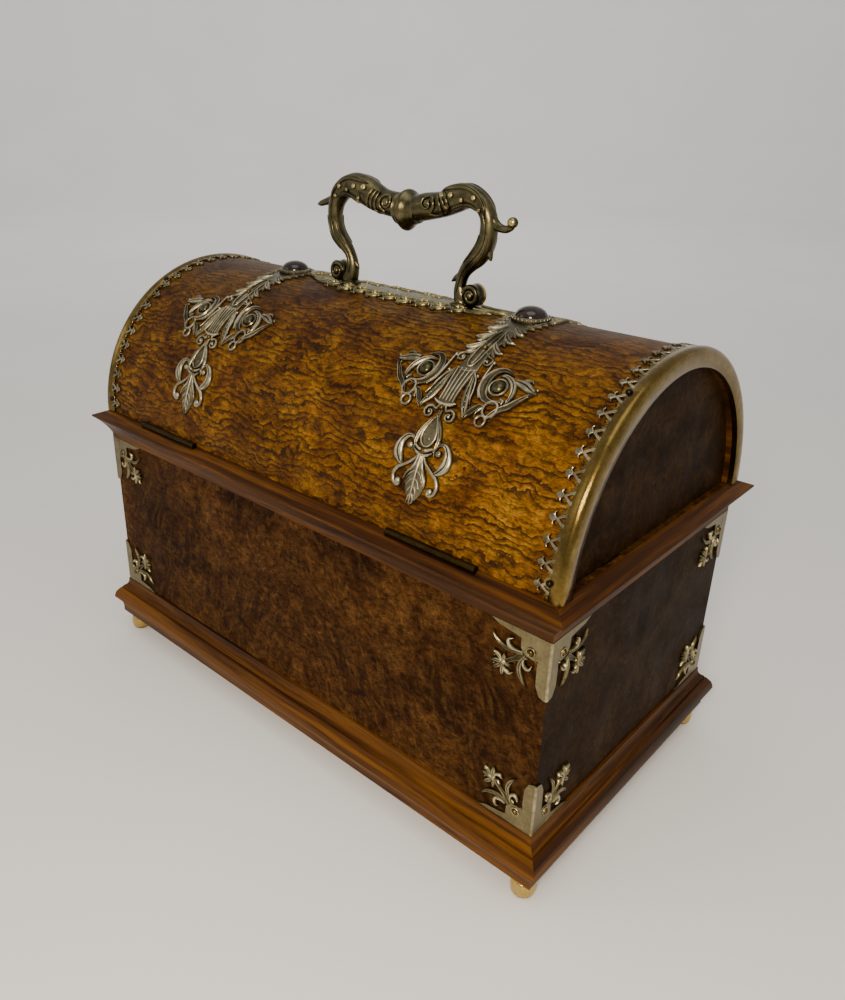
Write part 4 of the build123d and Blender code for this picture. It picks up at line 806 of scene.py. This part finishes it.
def edge_bands():
    """Both bands with their fringes, a round ear at each screw and a wider foot at each end."""
    motifs, first_gap = 14, 6.3
    step = (quarter_arc - first_gap) / motifs
    ear = [(2.5, 0), (2.5, 0.8 * band_t), (2.3, band_t), (0.03, band_t)]
    screws = [(low + high) / 2 for low, high in solid_boxes("band_screws")]
    for name, side in (("left", -1), ("right", 1)):
        band, fringe = Relief(on_dome(0, 1), side), Relief(on_dome(0, 1), side)
        band_sweep(band)
        for i in range(-motifs, motifs + 1):
            band_cusps(band, i * step)
            fringe_motif(fringe, i * step)
        for x, y, z in screws:
            if x * side > 0:
                band.turned(abs(x), dome_r * atan2(y, z - dome_z), ear, 20)
        for s in (-1, 1):
            band.strip([(band_inner + 1.5, s * (band_foot - 5.6), 0.6),
                        (band_inner + 0.4, s * (band_foot - 2.6), 1.6),
                        (band_inner + 0.6, s * band_foot, 1.9)], 1.0, "flat")
        band.make(f"end_band_{name}", "lid", brushed_brass, "brushed_brass", [f"edge_band_{name}"])
        fringe.make(f"end_fringe_{name}", "lid", pale_brass, "pierced_brass")


# Handle: bars in the plane of the ridge, with ornament laid round them
def bar(r, path, flat, sides):
    """A bar through (x, z, radius) points; flat widens or thins it along Y."""
    p = smooth(path, 7)
    tangent, angle = tangents(p), np.linspace(0, tau, sides, endpoint=False)
    out = p[:, 2:] * np.cos(angle)
    r.tube(rows_of(p[:, :1] - tangent[:, 1:] * out, flat * p[:, 2:] * np.sin(angle),
                   p[:, 1:2] + tangent[:, :1] * out), 0.45)


def round_bar(path, face):
    """What lays (along, around, height) on the front or back of a bar, and the bar's length."""
    p = smooth(path, 12)
    length = np.concatenate([[0], np.cumsum(np.linalg.norm(np.diff(p[:, :2], axis=0), axis=1))])
    sign, step = np.sign(p[-1, 0] - p[0, 0]), 0.4

    def line(at):
        """The bar's x, z and radius at lengths along it."""
        return np.array([np.interp(at, length, values) for values in p.T])

    def place(q):
        x, z, radius = line(q[:, 0])
        dx, dz = (line(q[:, 0] + step) - line(q[:, 0] - step))[:2]
        size = np.hypot(dx, dz) + 1e-9
        out = radius + q[:, 2]
        rise = sign * out * np.sin(q[:, 1] / radius)
        front = face * out * np.cos(q[:, 1] / radius)
        return np.stack([x - rise * dz / size, front, z + rise * dx / size], 1)
    return place, length[-1]


# The bail as the photograph shows it: (x, z, radius) below its top, from the collar to each foot
collar_x = 4.0
limbs = {
    -1: [(collar_x, -13.2, 5.2), (-2.4, -12.7, 5.3), (-9.6, -11.9, 5.3), (-15.3, -10.4, 5.7),
         (-21.8, -7.9, 6.0), (-29.1, -6.2, 5.4), (-36.0, -8.5, 4.4), (-40.6, -13.5, 3.8),
         (-42.3, -18.8, 3.5), (-41.9, -24.3, 3.2), (-39.9, -29.3, 3.3), (-35.8, -33.4, 3.0),
         (-32.4, -37.2, 2.5), (-30.6, -41.6, 2.6), (-30.8, -46.2, 3.0), (-32.4, -50.3, 3.4)],
    1: [(collar_x, -13.2, 5.2), (10.1, -12.8, 5.4), (14.8, -11.8, 5.5), (21.0, -10.7, 5.2),
        (25.5, -9.6, 5.1), (31.6, -6.9, 5.5), (36.6, -5.6, 4.6), (41.4, -6.6, 3.8),
        (45.3, -9.3, 3.5), (47.8, -13.0, 3.5), (48.5, -17.2, 3.6), (48.0, -21.6, 3.7),
        (46.4, -26.0, 3.9), (43.6, -29.8, 3.9), (39.8, -33.4, 3.2), (36.9, -37.2, 2.6),
        (35.5, -41.2, 2.4), (35.0, -45.6, 2.6), (36.2, -50.3, 3.2)],
}

# The small pointed leaves and the longer hooks that leave the bail
spurs = [
    [(-40.0, -25.5, 2.7), (-43.0, -29.0, 1.8), (-44.3, -31.8, 0.4)],
    [(-31.0, -39.0, 1.8), (-28.0, -41.8, 1.2), (-26.4, -43.6, 0.3)],
    [(46.6, -23.5, 2.8), (49.2, -27.2, 2.0), (50.6, -30.2, 0.5)],
    [(36.2, -37.4, 2.0), (32.4, -39.8, 1.3), (30.2, -41.4, 0.3)],
]
hooks = [
    [(-40.5, -11.8, 3.0), (-45.5, -13.6, 2.0), (-49.5, -14.8, 1.6), (-52.4, -15.7, 1.3),
     (-54.8, -16.2, 0.3)],
    [(46.5, -10.4, 3.2), (49.8, -13.8, 2.5), (53.2, -16.2, 1.9), (56.8, -16.8, 1.6), (59.6, -15.6, 1.4),
     (60.2, -13.9, 1.0)],
]


def grip_ornament(r, path, face, eye):
    """Scrolls with raised eyes, cross ribs and bosses along half of the grip."""
    r.place, length = round_bar(path, face)
    r.scroll([(eye + 6.2, -3.4, 0.35), (eye + 4.2, -4.4, 0.5), (eye + 1.6, -3.6, 0.6)], (eye, 1.2), 4.2,
             0.78, 1.45, 1.0, 0.75, 0.55, 1.6)
    for along, lean in ((eye + 5.8, 1.0), (eye + 8.0, 1.4), (eye + 10.2, 1.6)):
        r.strip(mirrored([(along - 0.5 * lean, -5.0, THIN), (along + 0.4, -3.0, 0.75),
                          (along + 0.8, 0, 0.85)], 1), 0.8)
    for along, around, size in ((24.2, 3.0, 1.5), (25.0, -2.6, 1.3), (29.4, 1.2, 1.3),
                                (34.0, -1.6, 1.25), (39.4, 1.0, 1.2), (44.5, -0.8, 1.1)):
        r.boss(along, around, size, 1.1, -0.1, 12, 0.9)
    r.strip([(24, -5.6, THIN), (28, -4.6, 1.1), (34, -4.2, 1.3), (40, -3.0, 1.0), (46, -1.0, THIN)],
            0.8, "leaf")
    r.strip([(23.0, 5.6, THIN), (29, 5.0, 1.2), (36, 3.8, 1.3), (43, 2.4, 0.9), (49, 0.6, THIN)],
            0.8, "leaf")
    r.strip([(length - 43, 0, 0.3), (length - 32, 0.3, 1.0), (length - 22, 0, 0.9),
             (length - 12, 0, 0.8), (length - 5, 0, 0.3)], 0.55)
    for s in (-1, 1):
        r.strip([(length - 34, 2.4 * s, 0.2), (length - 26, 2.6 * s, 0.6), (length - 18, 1.9 * s, 0.2)],
                0.5)


def collar(r):
    """The ringed collar in the middle of the grip, with a slight drop below."""
    profile = [(-6.2, 5.2), (-5.2, 6.2), (-4.5, 6.9), (-3.9, 6.5), (-3.3, 7.1), (-2.7, 6.8), (-2.1, 7.6),
               (-1.1, 8.3), (0.0, 8.5), (1.1, 8.2), (2.2, 7.5), (3.4, 6.8), (4.8, 6.3), (6.6, 5.6)]
    angle = np.linspace(0, tau, 72, endpoint=False)
    along, radius = smooth(profile, 3).T[:, :, None]
    depth = np.clip((radius - 6.4) / 2.0, 0, 1)
    drop = 0.9 * np.minimum(np.sin(angle), 0) ** 4 * depth
    r.place = on_face((collar_x, 0, bail_top - 13.4), X, Y, Z)
    r.tube(rows_of(along, radius * np.cos(angle), (radius + drop) * np.sin(angle)), 0.34 + 0.22 * depth)


def foot_scroll(r, side, coil_x, foot_x):
    """The rolled foot: a thick coil that shows its turns on both faces, on a small round base."""
    size, half = 4.9, 3.0
    coil_z = plate_top + size
    r.place = on_face((coil_x, 0, coil_z), X, Z, Y)
    coil = [(size - 1.5, -half), (size - 0.5, 0.1 - half), (size, 0.6 - half),
            (size - 0.25, -0.5 * half), (size - 0.35, 0)]
    r.turned(0, 0, mirrored(coil, 1), 36)
    for face in (-1, 1):
        r.place = on_face((coil_x, face * (half - 0.1), coil_z), -side * X, Z, face * Y)
        r.strip(spiral(0, 0, size - 0.8, 0.02, 1.4, 0.95, 0.6, 0.34), 0.7, steps=3)
        r.boss(0, 0, 1.4, 1.3, sides=14)
    r.place = None
    bar(r, [(foot_x - 0.5 * side, plate_top + 7.4, 2.5), (foot_x + side, plate_top + 3.4, 2.8),
            (foot_x + 4.4 * side, plate_top + 1.7, 2.3), (coil_x, plate_top + 1.2, 1.0)], 1.05, 18)
    r.place = on_face((foot_x, 0, plate_top), X, Y, Z)
    r.turned(0, 0, [(4.9, -0.6), (4.9, 0.3), (4.5, 0.7), (4.0, 0.9), (3.6, 1.3), (2.5, 1.5)], 28)


def handle():
    """The cast bail: two ornamented limbs on rolled feet, the collar, the leaves and the hooks."""
    r = Relief()
    for side, eye, coil_x, foot_x in ((-1, 8.8, -38.9, -31.8), (1, 15.4, 42.7, 35.6)):
        path = [(x, bail_top + z + 0.35, 1.06 * radius) for x, z, radius in limbs[side]]
        r.place = None
        bar(r, path, 1.0, 30)
        for face in (-1, 1):
            grip_ornament(r, path, face, eye)
        foot_scroll(r, side, coil_x, foot_x)
    collar(r)
    r.place = None
    for paths, sides in ((spurs, 14), (hooks, 16)):
        for path in paths:
            bar(r, [(x, bail_top + z, radius) for x, z, radius in path], 0.9, sides)
    tip = (60.0, 0, bail_top - 13.9)
    for face in (-1, 1):
        r.place = on_face(tip, X, Z, face * Y)
        r.boss(0, 0, 2.2, 2.2, -0.1)
    r.make("handle_cast", "lid", cast_brass, "cast_brass", ["handle"], 50)


def handle_backplate():
    """The leafy plate along the ridge, its edge a run of shells and curls."""
    r = Relief(on_dome(0, 1))
    motifs, pitch = 9, 9.6
    half = (backplate_high[0] - backplate_low[0]) / 2
    outline = [(-half, 0.1), (-half + 5, 1.8), (-half + 10, 3.6), (-half + 15, 5.6), (-38, 7.6),
               (-31, 8.8), (-24, 8.2), (-16, 8.9), (-8, 8.2), (0, 9.2)]
    r.plate(mirrored(outline), 1.25, steps=5, turned=True)
    for slope in (-1, 1):
        r.place = on_dome(0, slope)
        for i in range(motifs):
            x = (i - (motifs - 1) / 2) * pitch
            lean = 1.0 if i % 2 else -1.0
            edge = 8.3 + 0.5 * lean - 0.0012 * x * x
            r.strip([(x - 3.6, edge - 2.4, 0.4), (x - 2.2, edge + 0.6, 1.0), (x + 0.2, edge + 2.0, 1.4),
                     (x + 3.2, edge + 0.8, 1.1), (x + 4.8, edge - 1.6, 0.3)], 1.5, "leaf")
            r.scroll([(x + 3.4 * lean, edge - 3.4, 0.4)], (x + 0.4 * lean, edge - 1.8), 1.9, 0.0,
                     lean * 1.1, 1.7, 0.6, 0.4, 0.8, 0.2)
            r.boss(x + 4.8, edge + 0.3, 0.95, 1.7, sides=10)
            r.strip([(x - 1.2, edge + 1.8, 0.7), (x - 0.4 * lean, edge + 3.6, 0.7),
                     (x + 1.8 * lean, edge + 4.4, 0.15)], 1.3)
        for _ in r.both_sides():
            r.strip([(41, 6.2, 0.6), (46, 5.8, 1.5), (51, 4.2, 1.3), (55, 3.6, 0.2)], 1.4, "leaf")
            r.strip([(45, 3.0, 0.5), (50, 2.6, 1.1), (56, 1.6, 0.9), (half, 0.6, 0.15)], 1.6, "leaf")
        rail = [(x, 5.4 - 0.0011 * x * x, 0.45) for x in range(-42, 43, 7)]
        r.strip(rail, 0.5, base=1.05)
    r.make("handle_plate_cast", "lid", cast_brass, "cast_brass", ["handle_backplate"], 50)


# Corner mounts: one flange, across and along from the corner of the wall
mount_arm, mount_t = 25.5, 0.9


def mount_plate(r):
    """The strip on the corner, the plate beside it and the arm under the moulding."""
    strip = [(0.0, 4.9), (9.2, 4.9), (10.2, 4.2), (12.5, 4.5), (20.2, 4.3), (24.1, 2.6),
             (mount_arm - 0.6, 0.5)]
    beside = [(4.0, 10.0), (7.0, 10.3), (9.2, 10.0), (10.9, 8.9), (11.7, 7.2), (11.9, 3.3), (15, 2.7),
              (21, 1.9), (mount_arm - 0.8, 0.3)]
    t, lower = mount_t, mount_t - 0.07
    r.tube([[(0, v, 0), (0, v, t), (u, v, t), (u, v, 0)] for v, u in strip], 0.55)
    r.tube([[(u, 0, 0), (u, 0, lower), (u, v, lower), (u, v, 0)] for u, v in beside], 0.55)


def mount_leaves(r):
    """Two long leaves, each with a hook beside it, that spring from the plate."""
    r.strip([(10.6, 9.2, 0.9), (13.6, 9.9, 1.0), (16.9, 10.3, 1.1), (19.8, 9.7, 1.0),
             (22.3, 8.1, 0.6), (24.4, 5.6, 0.1)], 1.25, "leaf", steps=5)
    r.strip([(12.0, 8.8, 0.4), (14.6, 9.0, 0.7), (16.5, 8.5, 0.95), (17.1, 6.9, 0.9),
             (16.5, 5.6, 0.6), (15.2, 5.0, 0.2)], 1.7, steps=5)
    r.strip([(9.4, 10.2, 0.9), (11.2, 13.2, 1.0), (11.9, 16.4, 1.15), (11.1, 19.2, 1.1),
             (9.8, 21.2, 0.7), (8.3, 23.1, 0.1)], 1.25, "leaf", steps=5)
    r.strip([(9.9, 11.4, 0.4), (10.0, 13.4, 0.75), (9.0, 14.9, 0.9), (7.5, 14.7, 0.8),
             (6.7, 13.6, 0.5), (6.5, 12.6, 0.15)], 1.7, steps=5)
    r.strip([(5.6, 9.6, 0.5), (5.0, 10.6, 0.4), (4.2, 10.8, 0.15)], 1.1)
    r.strip([(9.6, 9.6, 2.0), (11.4, 11.2, 1.6), (14.8, 13.8, 0.9), (17.9, 16.3, 1.0)], 0.95, "rimmed")


def mount_flower(r):
    """The open flower at the outer corner."""
    x, y = 18.5, 16.9
    petals = [((20.9, 14.6, 1.15), (23.2, 13.2, 0.2)), ((21.4, 17.3, 1.1), (23.9, 17.8, 0.2)),
              ((21.0, 19.5, 1.1), (23.0, 21.0, 0.2)), ((18.8, 20.3, 1.1), (18.6, 22.7, 0.2)),
              ((18.3, 14.2, 0.75), (18.2, 12.6, 0.15)), ((16.2, 17.1, 0.7), (14.6, 16.1, 0.15))]
    for swell, tip in petals:
        root = (x + 0.25 * (swell[0] - x), y + 0.25 * (swell[1] - y), 0.5)
        r.strip([root, swell, tip], 1.45, "leaf")
    r.strip([(17.9, 18.4, 0.4), (17.3, 19.8, 0.8), (15.7, 20.3, 0.85), (14.2, 19.3, 0.15)], 1.6, steps=5)
    r.boss(x, y, 1.25, 1.6)
    for along in (15.6, 19.2):
        r.boss(22.6, along, 0.5, 1.2, sides=10)


def mount_flange(r, *place):
    """One whole flange, with a ring round its pin."""
    r.place = on_face(*place)
    mount_plate(r)
    mount_leaves(r)
    mount_flower(r)
    pin = 7.4
    r.ring(pin, pin, 1.7, 0.34, 0.5, mount_t - 0.1)


def corner_mounts():
    """At each corner two flanges and the bar that joins them, under the cornice and on the plinth."""
    inner, outer, cut = -0.1, mount_t, 0.28
    bar_ring = [(inner, inner), (inner, outer), (outer - cut, outer), (outer, outer - cut), (outer, inner)]
    for level, z, up in (("upper", cornice_bottom - 0.1, -1), ("lower", plinth_top + 0.1, 1)):
        r = Relief()
        for sx, sy in CORNERS:
            corner = (sx * half_x, sy * half_y, z)
            mount_flange(r, corner, -sx * X, up * Z, sy * Y)
            mount_flange(r, corner, -sy * Y, up * Z, sx * X)
            r.place = on_face(corner, sx * X, sy * Y, up * Z)
            r.tube([[(x, y, d) for x, y in bar_ring] for d in (0, 0.4 * mount_arm, mount_arm - 0.7)], 0.8)
        r.make(f"mounts_{level}", "carcase", mount_brass, "pierced_brass", [f"{level}_corner_mounts"], 30)


def bun_feet():
    """Turned feet with a fine line cut above the belly."""
    belly, top = 5.3, foot_height + 0.05
    foot_x, foot_y = box_mm("bun_feet")[1][:2] - belly
    profile = [(2.3, 0.02), (2.6, 0.0), (4.3, 0.5), (5.0, 1.8), (5.28, 3.6), (belly, 5.2), (5.1, 6.6),
               (4.7, 7.6), (4.5, 7.8), (4.55, 8.1), (4.2, 8.7), (3.4, 9.2), (3.15, 9.5), (3.3, 10.2),
               (3.7, 10.7), (3.7, top), (0.05, top)]
    r = Relief()
    for sx, sy in CORNERS:
        r.place = on_face((sx * foot_x, sy * foot_y, 0), X, Y, Z)
        r.turned(0, 0, smooth(profile, 2), 40)
    r.make("feet_turned", "carcase", plain_brass, "brushed_brass", ["bun_feet"], 50)


# Soft parts: velvet over thin wadding in the well and the tray, quilted silk in the lid
def solid_boxes(node):
    """The boxes of a node's separate solids in millimetres, in a steady order."""
    work = bmesh.new()
    work.from_mesh(nodes[node].data)
    bmesh.ops.remove_doubles(work, verts=work.verts, dist=1e-6)
    left, boxes = set(work.verts), []
    while left:
        group, open_ends = [], [left.pop()]
        while open_ends:
            v = open_ends.pop()
            group.append(tuple(v.co))
            for e in v.link_edges:
                w = e.other_vert(v)
                if w in left:
                    left.discard(w)
                    open_ends.append(w)
        p = np.array(group) / MM
        boxes.append((p.min(0), p.max(0)))
    work.free()
    return sorted(boxes, key=lambda b: tuple(np.round(np.concatenate(b), 2)))


def soft_piece(r, name, body, node, material=velvet, slot="velvet"):
    """A soft mesh that stands for a node's solid."""
    piece = r.make(name, body, material, slot, [node], 60)


def puffs(a, b):
    """Soft diamonds between crossing seams, from 0 on a seam to 1."""
    return np.sqrt(np.abs(np.sin(a + b) * np.sin(a - b)))


def pad(low, high, thick_axis, sign, cell=0.0, swell=0.0):
    """A stuffed panel in a box: flat at its back, crowned and rounded on its face."""
    middle, half = (low + high) / 2, (high - low) / 2
    thick = 2 * half[thick_axis]
    a, b = [i for i in range(3) if i != thick_axis]
    u = np.sin(np.linspace(-pi / 2, pi / 2, 121 if cell else 49))[:, None]
    v = np.sin(np.linspace(-pi / 2, pi / 2, 81 if cell else 33))
    face = (1 - np.abs(u) ** 24) ** 0.4 * (1 - np.abs(v) ** 24) ** 0.4
    if cell:
        puff = puffs(pi * half[a] * u / cell, pi * half[b] * v / cell)
        height = thick * 0.4 + face * (0.2 * thick + (0.4 * thick + swell) * puff)
    else:
        crown = 0.75 + 0.25 * (1 - u ** 2) * (1 - v ** 2)
        height = thick * (0.35 + 0.65 * face * crown)
    draw = 0.25 * (1 - v ** 2)
    across = np.hstack([u * (half[a] - draw), u * half[a], u * half[a]])
    along = half[b] * np.concatenate([v, (1, -1)])
    out = sign * AXES[thick_axis]
    r = Relief(on_face(middle - out * thick / 2, AXES[a], AXES[b], out))
    r.tube(rows_of(across, along, np.hstack([height, 0 * u, 0 * u])))
    return r


def well_soft():
    """The quilted floor pad of the well and the linings of its walls."""
    low, high = solid_boxes("well_floor_pad")[0]
    r = pad(low, high, 2, 1, cell=26.0, swell=0.8)
    soft_piece(r, "well_floor_velvet", "carcase", "well_floor_pad")
    for i, (low, high) in enumerate(solid_boxes("well_linings")):
        axis = 0 if high[0] - low[0] < high[1] - low[1] else 1
        r = pad(low, high, axis, -1 if low[axis] > 0 else 1)
        soft_piece(r, f"well_velvet_{i + 1}", "carcase", "well_linings")


def tray_soft():
    """The pads of the tray's compartments and its ring rolls."""
    for i, (low, high) in enumerate(solid_boxes("tray_pads")):
        soft_piece(pad(low, high, 2, 1), f"tray_velvet_{i + 1}", "tray", "tray_pads")
    for i, (low, high) in enumerate(solid_boxes("ring_rolls")):
        soft_piece(ring_roll(low, high, i), f"ring_roll_{i + 1}", "tray", "ring_rolls")


def ring_roll(low, high, index):
    """A firm velvet roll with gathered ends, flat where it rests on the tray."""
    mid, half, tall = (low[0] + high[0]) / 2, (high[0] - low[0]) / 2, high[2] - low[2]
    side = np.linspace(0, pi, 31)
    s = np.sin(np.linspace(-pi / 2, pi / 2, 75))[:, None]
    y = (low[1] + high[1]) / 2 + s * (high[1] - low[1]) / 2
    end = (1 - np.abs(s) ** 16) ** 0.45
    gather = 1 - 0.05 * (1 - end) * np.cos(14 * side)
    lumps = 1 - 0.012 * (1 + np.sin(0.21 * y + 1.7 * index) + np.sin(0.53 * y + index))
    scale = (0.80 + 0.20 * end) * lumps * gather
    across = np.sign(np.cos(side)) * np.abs(np.cos(side)) ** 0.62
    rise = np.abs(np.sin(side)) ** 0.80
    r = Relief()
    r.tube(rows_of(mid + half * across * scale, y, low[2] + tall * rise * scale))
    return r


def lid_soft():
    """Quilted silk against the shell and both end panels."""
    boxes = solid_boxes("lid_lining")
    low, high = max(boxes, key=lambda b: b[1][0] - b[0][0])
    outer = high[2] - dome_z
    foot = np.arccos((low[2] - dome_z) / outer)
    thick, cell = 2.0, 19.0
    a = np.linspace(-foot, foot, 181)[:, None]
    x = np.linspace(low[0], high[0], 221)
    edge = (1 - np.abs(np.linspace(-1, 1, len(x))) ** 60) ** 0.5 * (1 - np.abs(a / foot) ** 40) ** 0.5
    puff = puffs(pi * x / cell, pi * a * outer / cell)
    radius = outer - 0.7 - edge * (0.3 + (thick - 0.4) * puff)
    radius = np.hstack([radius, np.full((len(a), 3), outer)])
    x = np.concatenate([x, (high[0], 0, low[0])])
    r = Relief()
    r.tube(rows_of(x, radius * np.sin(a), dome_z + radius * np.cos(a)))
    soft_piece(r, "lid_silk", "lid", "lid_lining", silk, "silk")
    for low, high in boxes:
        if high[0] - low[0] < 10:
            name = "lid_end_silk_left" if low[0] < 0 else "lid_end_silk_right"
            soft_piece(end_pad(low, high, cell), name, "lid", "lid_lining", silk, "silk")


def end_pad(low, high, cell):
    """A quilted half disc against an end panel."""
    radius, thick = high[2] - dome_z, high[0] - low[0]
    back, inward = (high[0], -1) if low[0] > 0 else (low[0], 1)
    y = np.linspace(low[1], high[1], 121)[:, None]
    t = np.linspace(0, 1, 81)
    top = dome_z + np.sqrt(radius ** 2 - y ** 2)
    z = low[2] + (top - low[2]) * t
    edge = (1 - np.abs(2 * t - 1) ** 40) ** 0.5 * (1 - np.abs(y / high[1]) ** 40) ** 0.5
    puff = puffs(pi * y / cell, pi * (z - dome_z) / cell)
    x = back + inward * (0.6 + edge * (0.2 + (thick - 0.8) * puff))
    r = Relief()
    r.tube(rows_of(np.hstack([x, np.full((len(y), 2), back)]), y, np.hstack([z, top, low[2] + 0 * y])))
    return r


# Studio: floor, lights and the photograph's viewpoint
def studio_dish():
    """A pale round floor that curves up into a low wall all about the casket."""
    flat, bend, tall, sides = 2.4, 0.9, 1.7, 96
    profile = [(0.02, 0.0), (0.5, 0.0), (flat, 0.0)]
    profile += [(flat + bend * sin(a), bend * (1 - cos(a))) for a in np.linspace(0, pi / 2, 17)[1:]]
    profile.append((flat + bend, tall))
    rows = lathe(profile, sides)
    ids = np.arange(len(profile) * sides).reshape(-1, sides)
    mesh = bpy.data.meshes.new("studio_dish")
    mesh.from_pydata(rows.reshape(-1, 3).tolist(), [], quads_of(ids) + [ids[0].tolist()])
    mesh.shade_smooth()
    mesh.materials.append(floor_finish())
    add("studio_dish", mesh)


def softbox(name, place, size, power, tone, aim=(0.0, 0.0, 0.12)):
    """A round soft light, aimed at a point and hidden from the camera."""
    data = bpy.data.lights.new(name, "AREA")
    data.shape, data.size, data.energy, data.color = "DISK", size, power, tone
    lamp = add(name, data)
    lamp.location = place
    lamp.visible_camera = False
    lamp.rotation_euler = (Vector(aim) - Vector(place)).to_track_quat("-Z", "Y").to_euler()


def studio():
    """Soft light: a warm key beside the viewer, one above, a weak fill and one on the far wall."""
    studio_dish()
    world = bpy.data.worlds.new("studio_world")
    bpy.context.scene.world = world
    world.use_nodes = True
    back = world.node_tree.nodes["Background"]
    back.inputs[0].default_value = (1.0, 0.98, 0.95, 1)
    back.inputs[1].default_value = 0.50
    softbox("key_light", (0.31, -0.47, 0.43), 0.16, 3.4, (1.0, 0.88, 0.70), (0.06, -0.03, 0.12))
    softbox("top_light", (0.15, -0.25, 1.9), 1.3, 8, (1.0, 0.98, 0.95))
    softbox("fill_light", (-0.9, -1.1, 0.8), 0.8, 1.8, (1.0, 0.96, 0.90))
    softbox("wall_light", (-1.0, 0.9, 1.7), 1.0, 16, (1.0, 0.98, 0.95), (-2.2, 2.3, 0.4))


def camera():
    """The camera that was fitted to the corners of the casket in the photograph."""
    width, height = 845, 1000
    focal, centre_px, centre_py = 845.42, 397.55, 476.35
    place = Vector((0.2615, -0.2932, 0.2897))
    forward = Vector((-0.60844, 0.68538, -0.40006)).normalized()
    roll = radians(1.35)
    right = forward.cross(Vector((0, 0, 1))).normalized()
    up = right.cross(forward)
    tilted_right = right * cos(roll) + up * sin(roll)
    tilted_up = up * cos(roll) - right * sin(roll)
    data = bpy.data.cameras.new("photo_camera")
    data.sensor_fit, data.sensor_height, data.sensor_width = "VERTICAL", 36, 36
    data.lens = focal * data.sensor_height / height
    data.shift_x = (width / 2 - centre_px) / height
    data.shift_y = (centre_py - height / 2) / height
    data.clip_start, data.clip_end = 0.01, 50
    shot = add("photo_camera", data)
    turn = Matrix((tilted_right, tilted_up, -forward)).transposed()
    shot.matrix_world = Matrix.Translation(place) @ turn.to_4x4()
    bpy.context.scene.camera = shot


dress_nodes()
lid_veneer()
straps()
cabochon_stones()
edge_bands()
handle()
handle_backplate()
corner_mounts()
bun_feet()
well_soft()
tray_soft()
lid_soft()
studio()
camera()
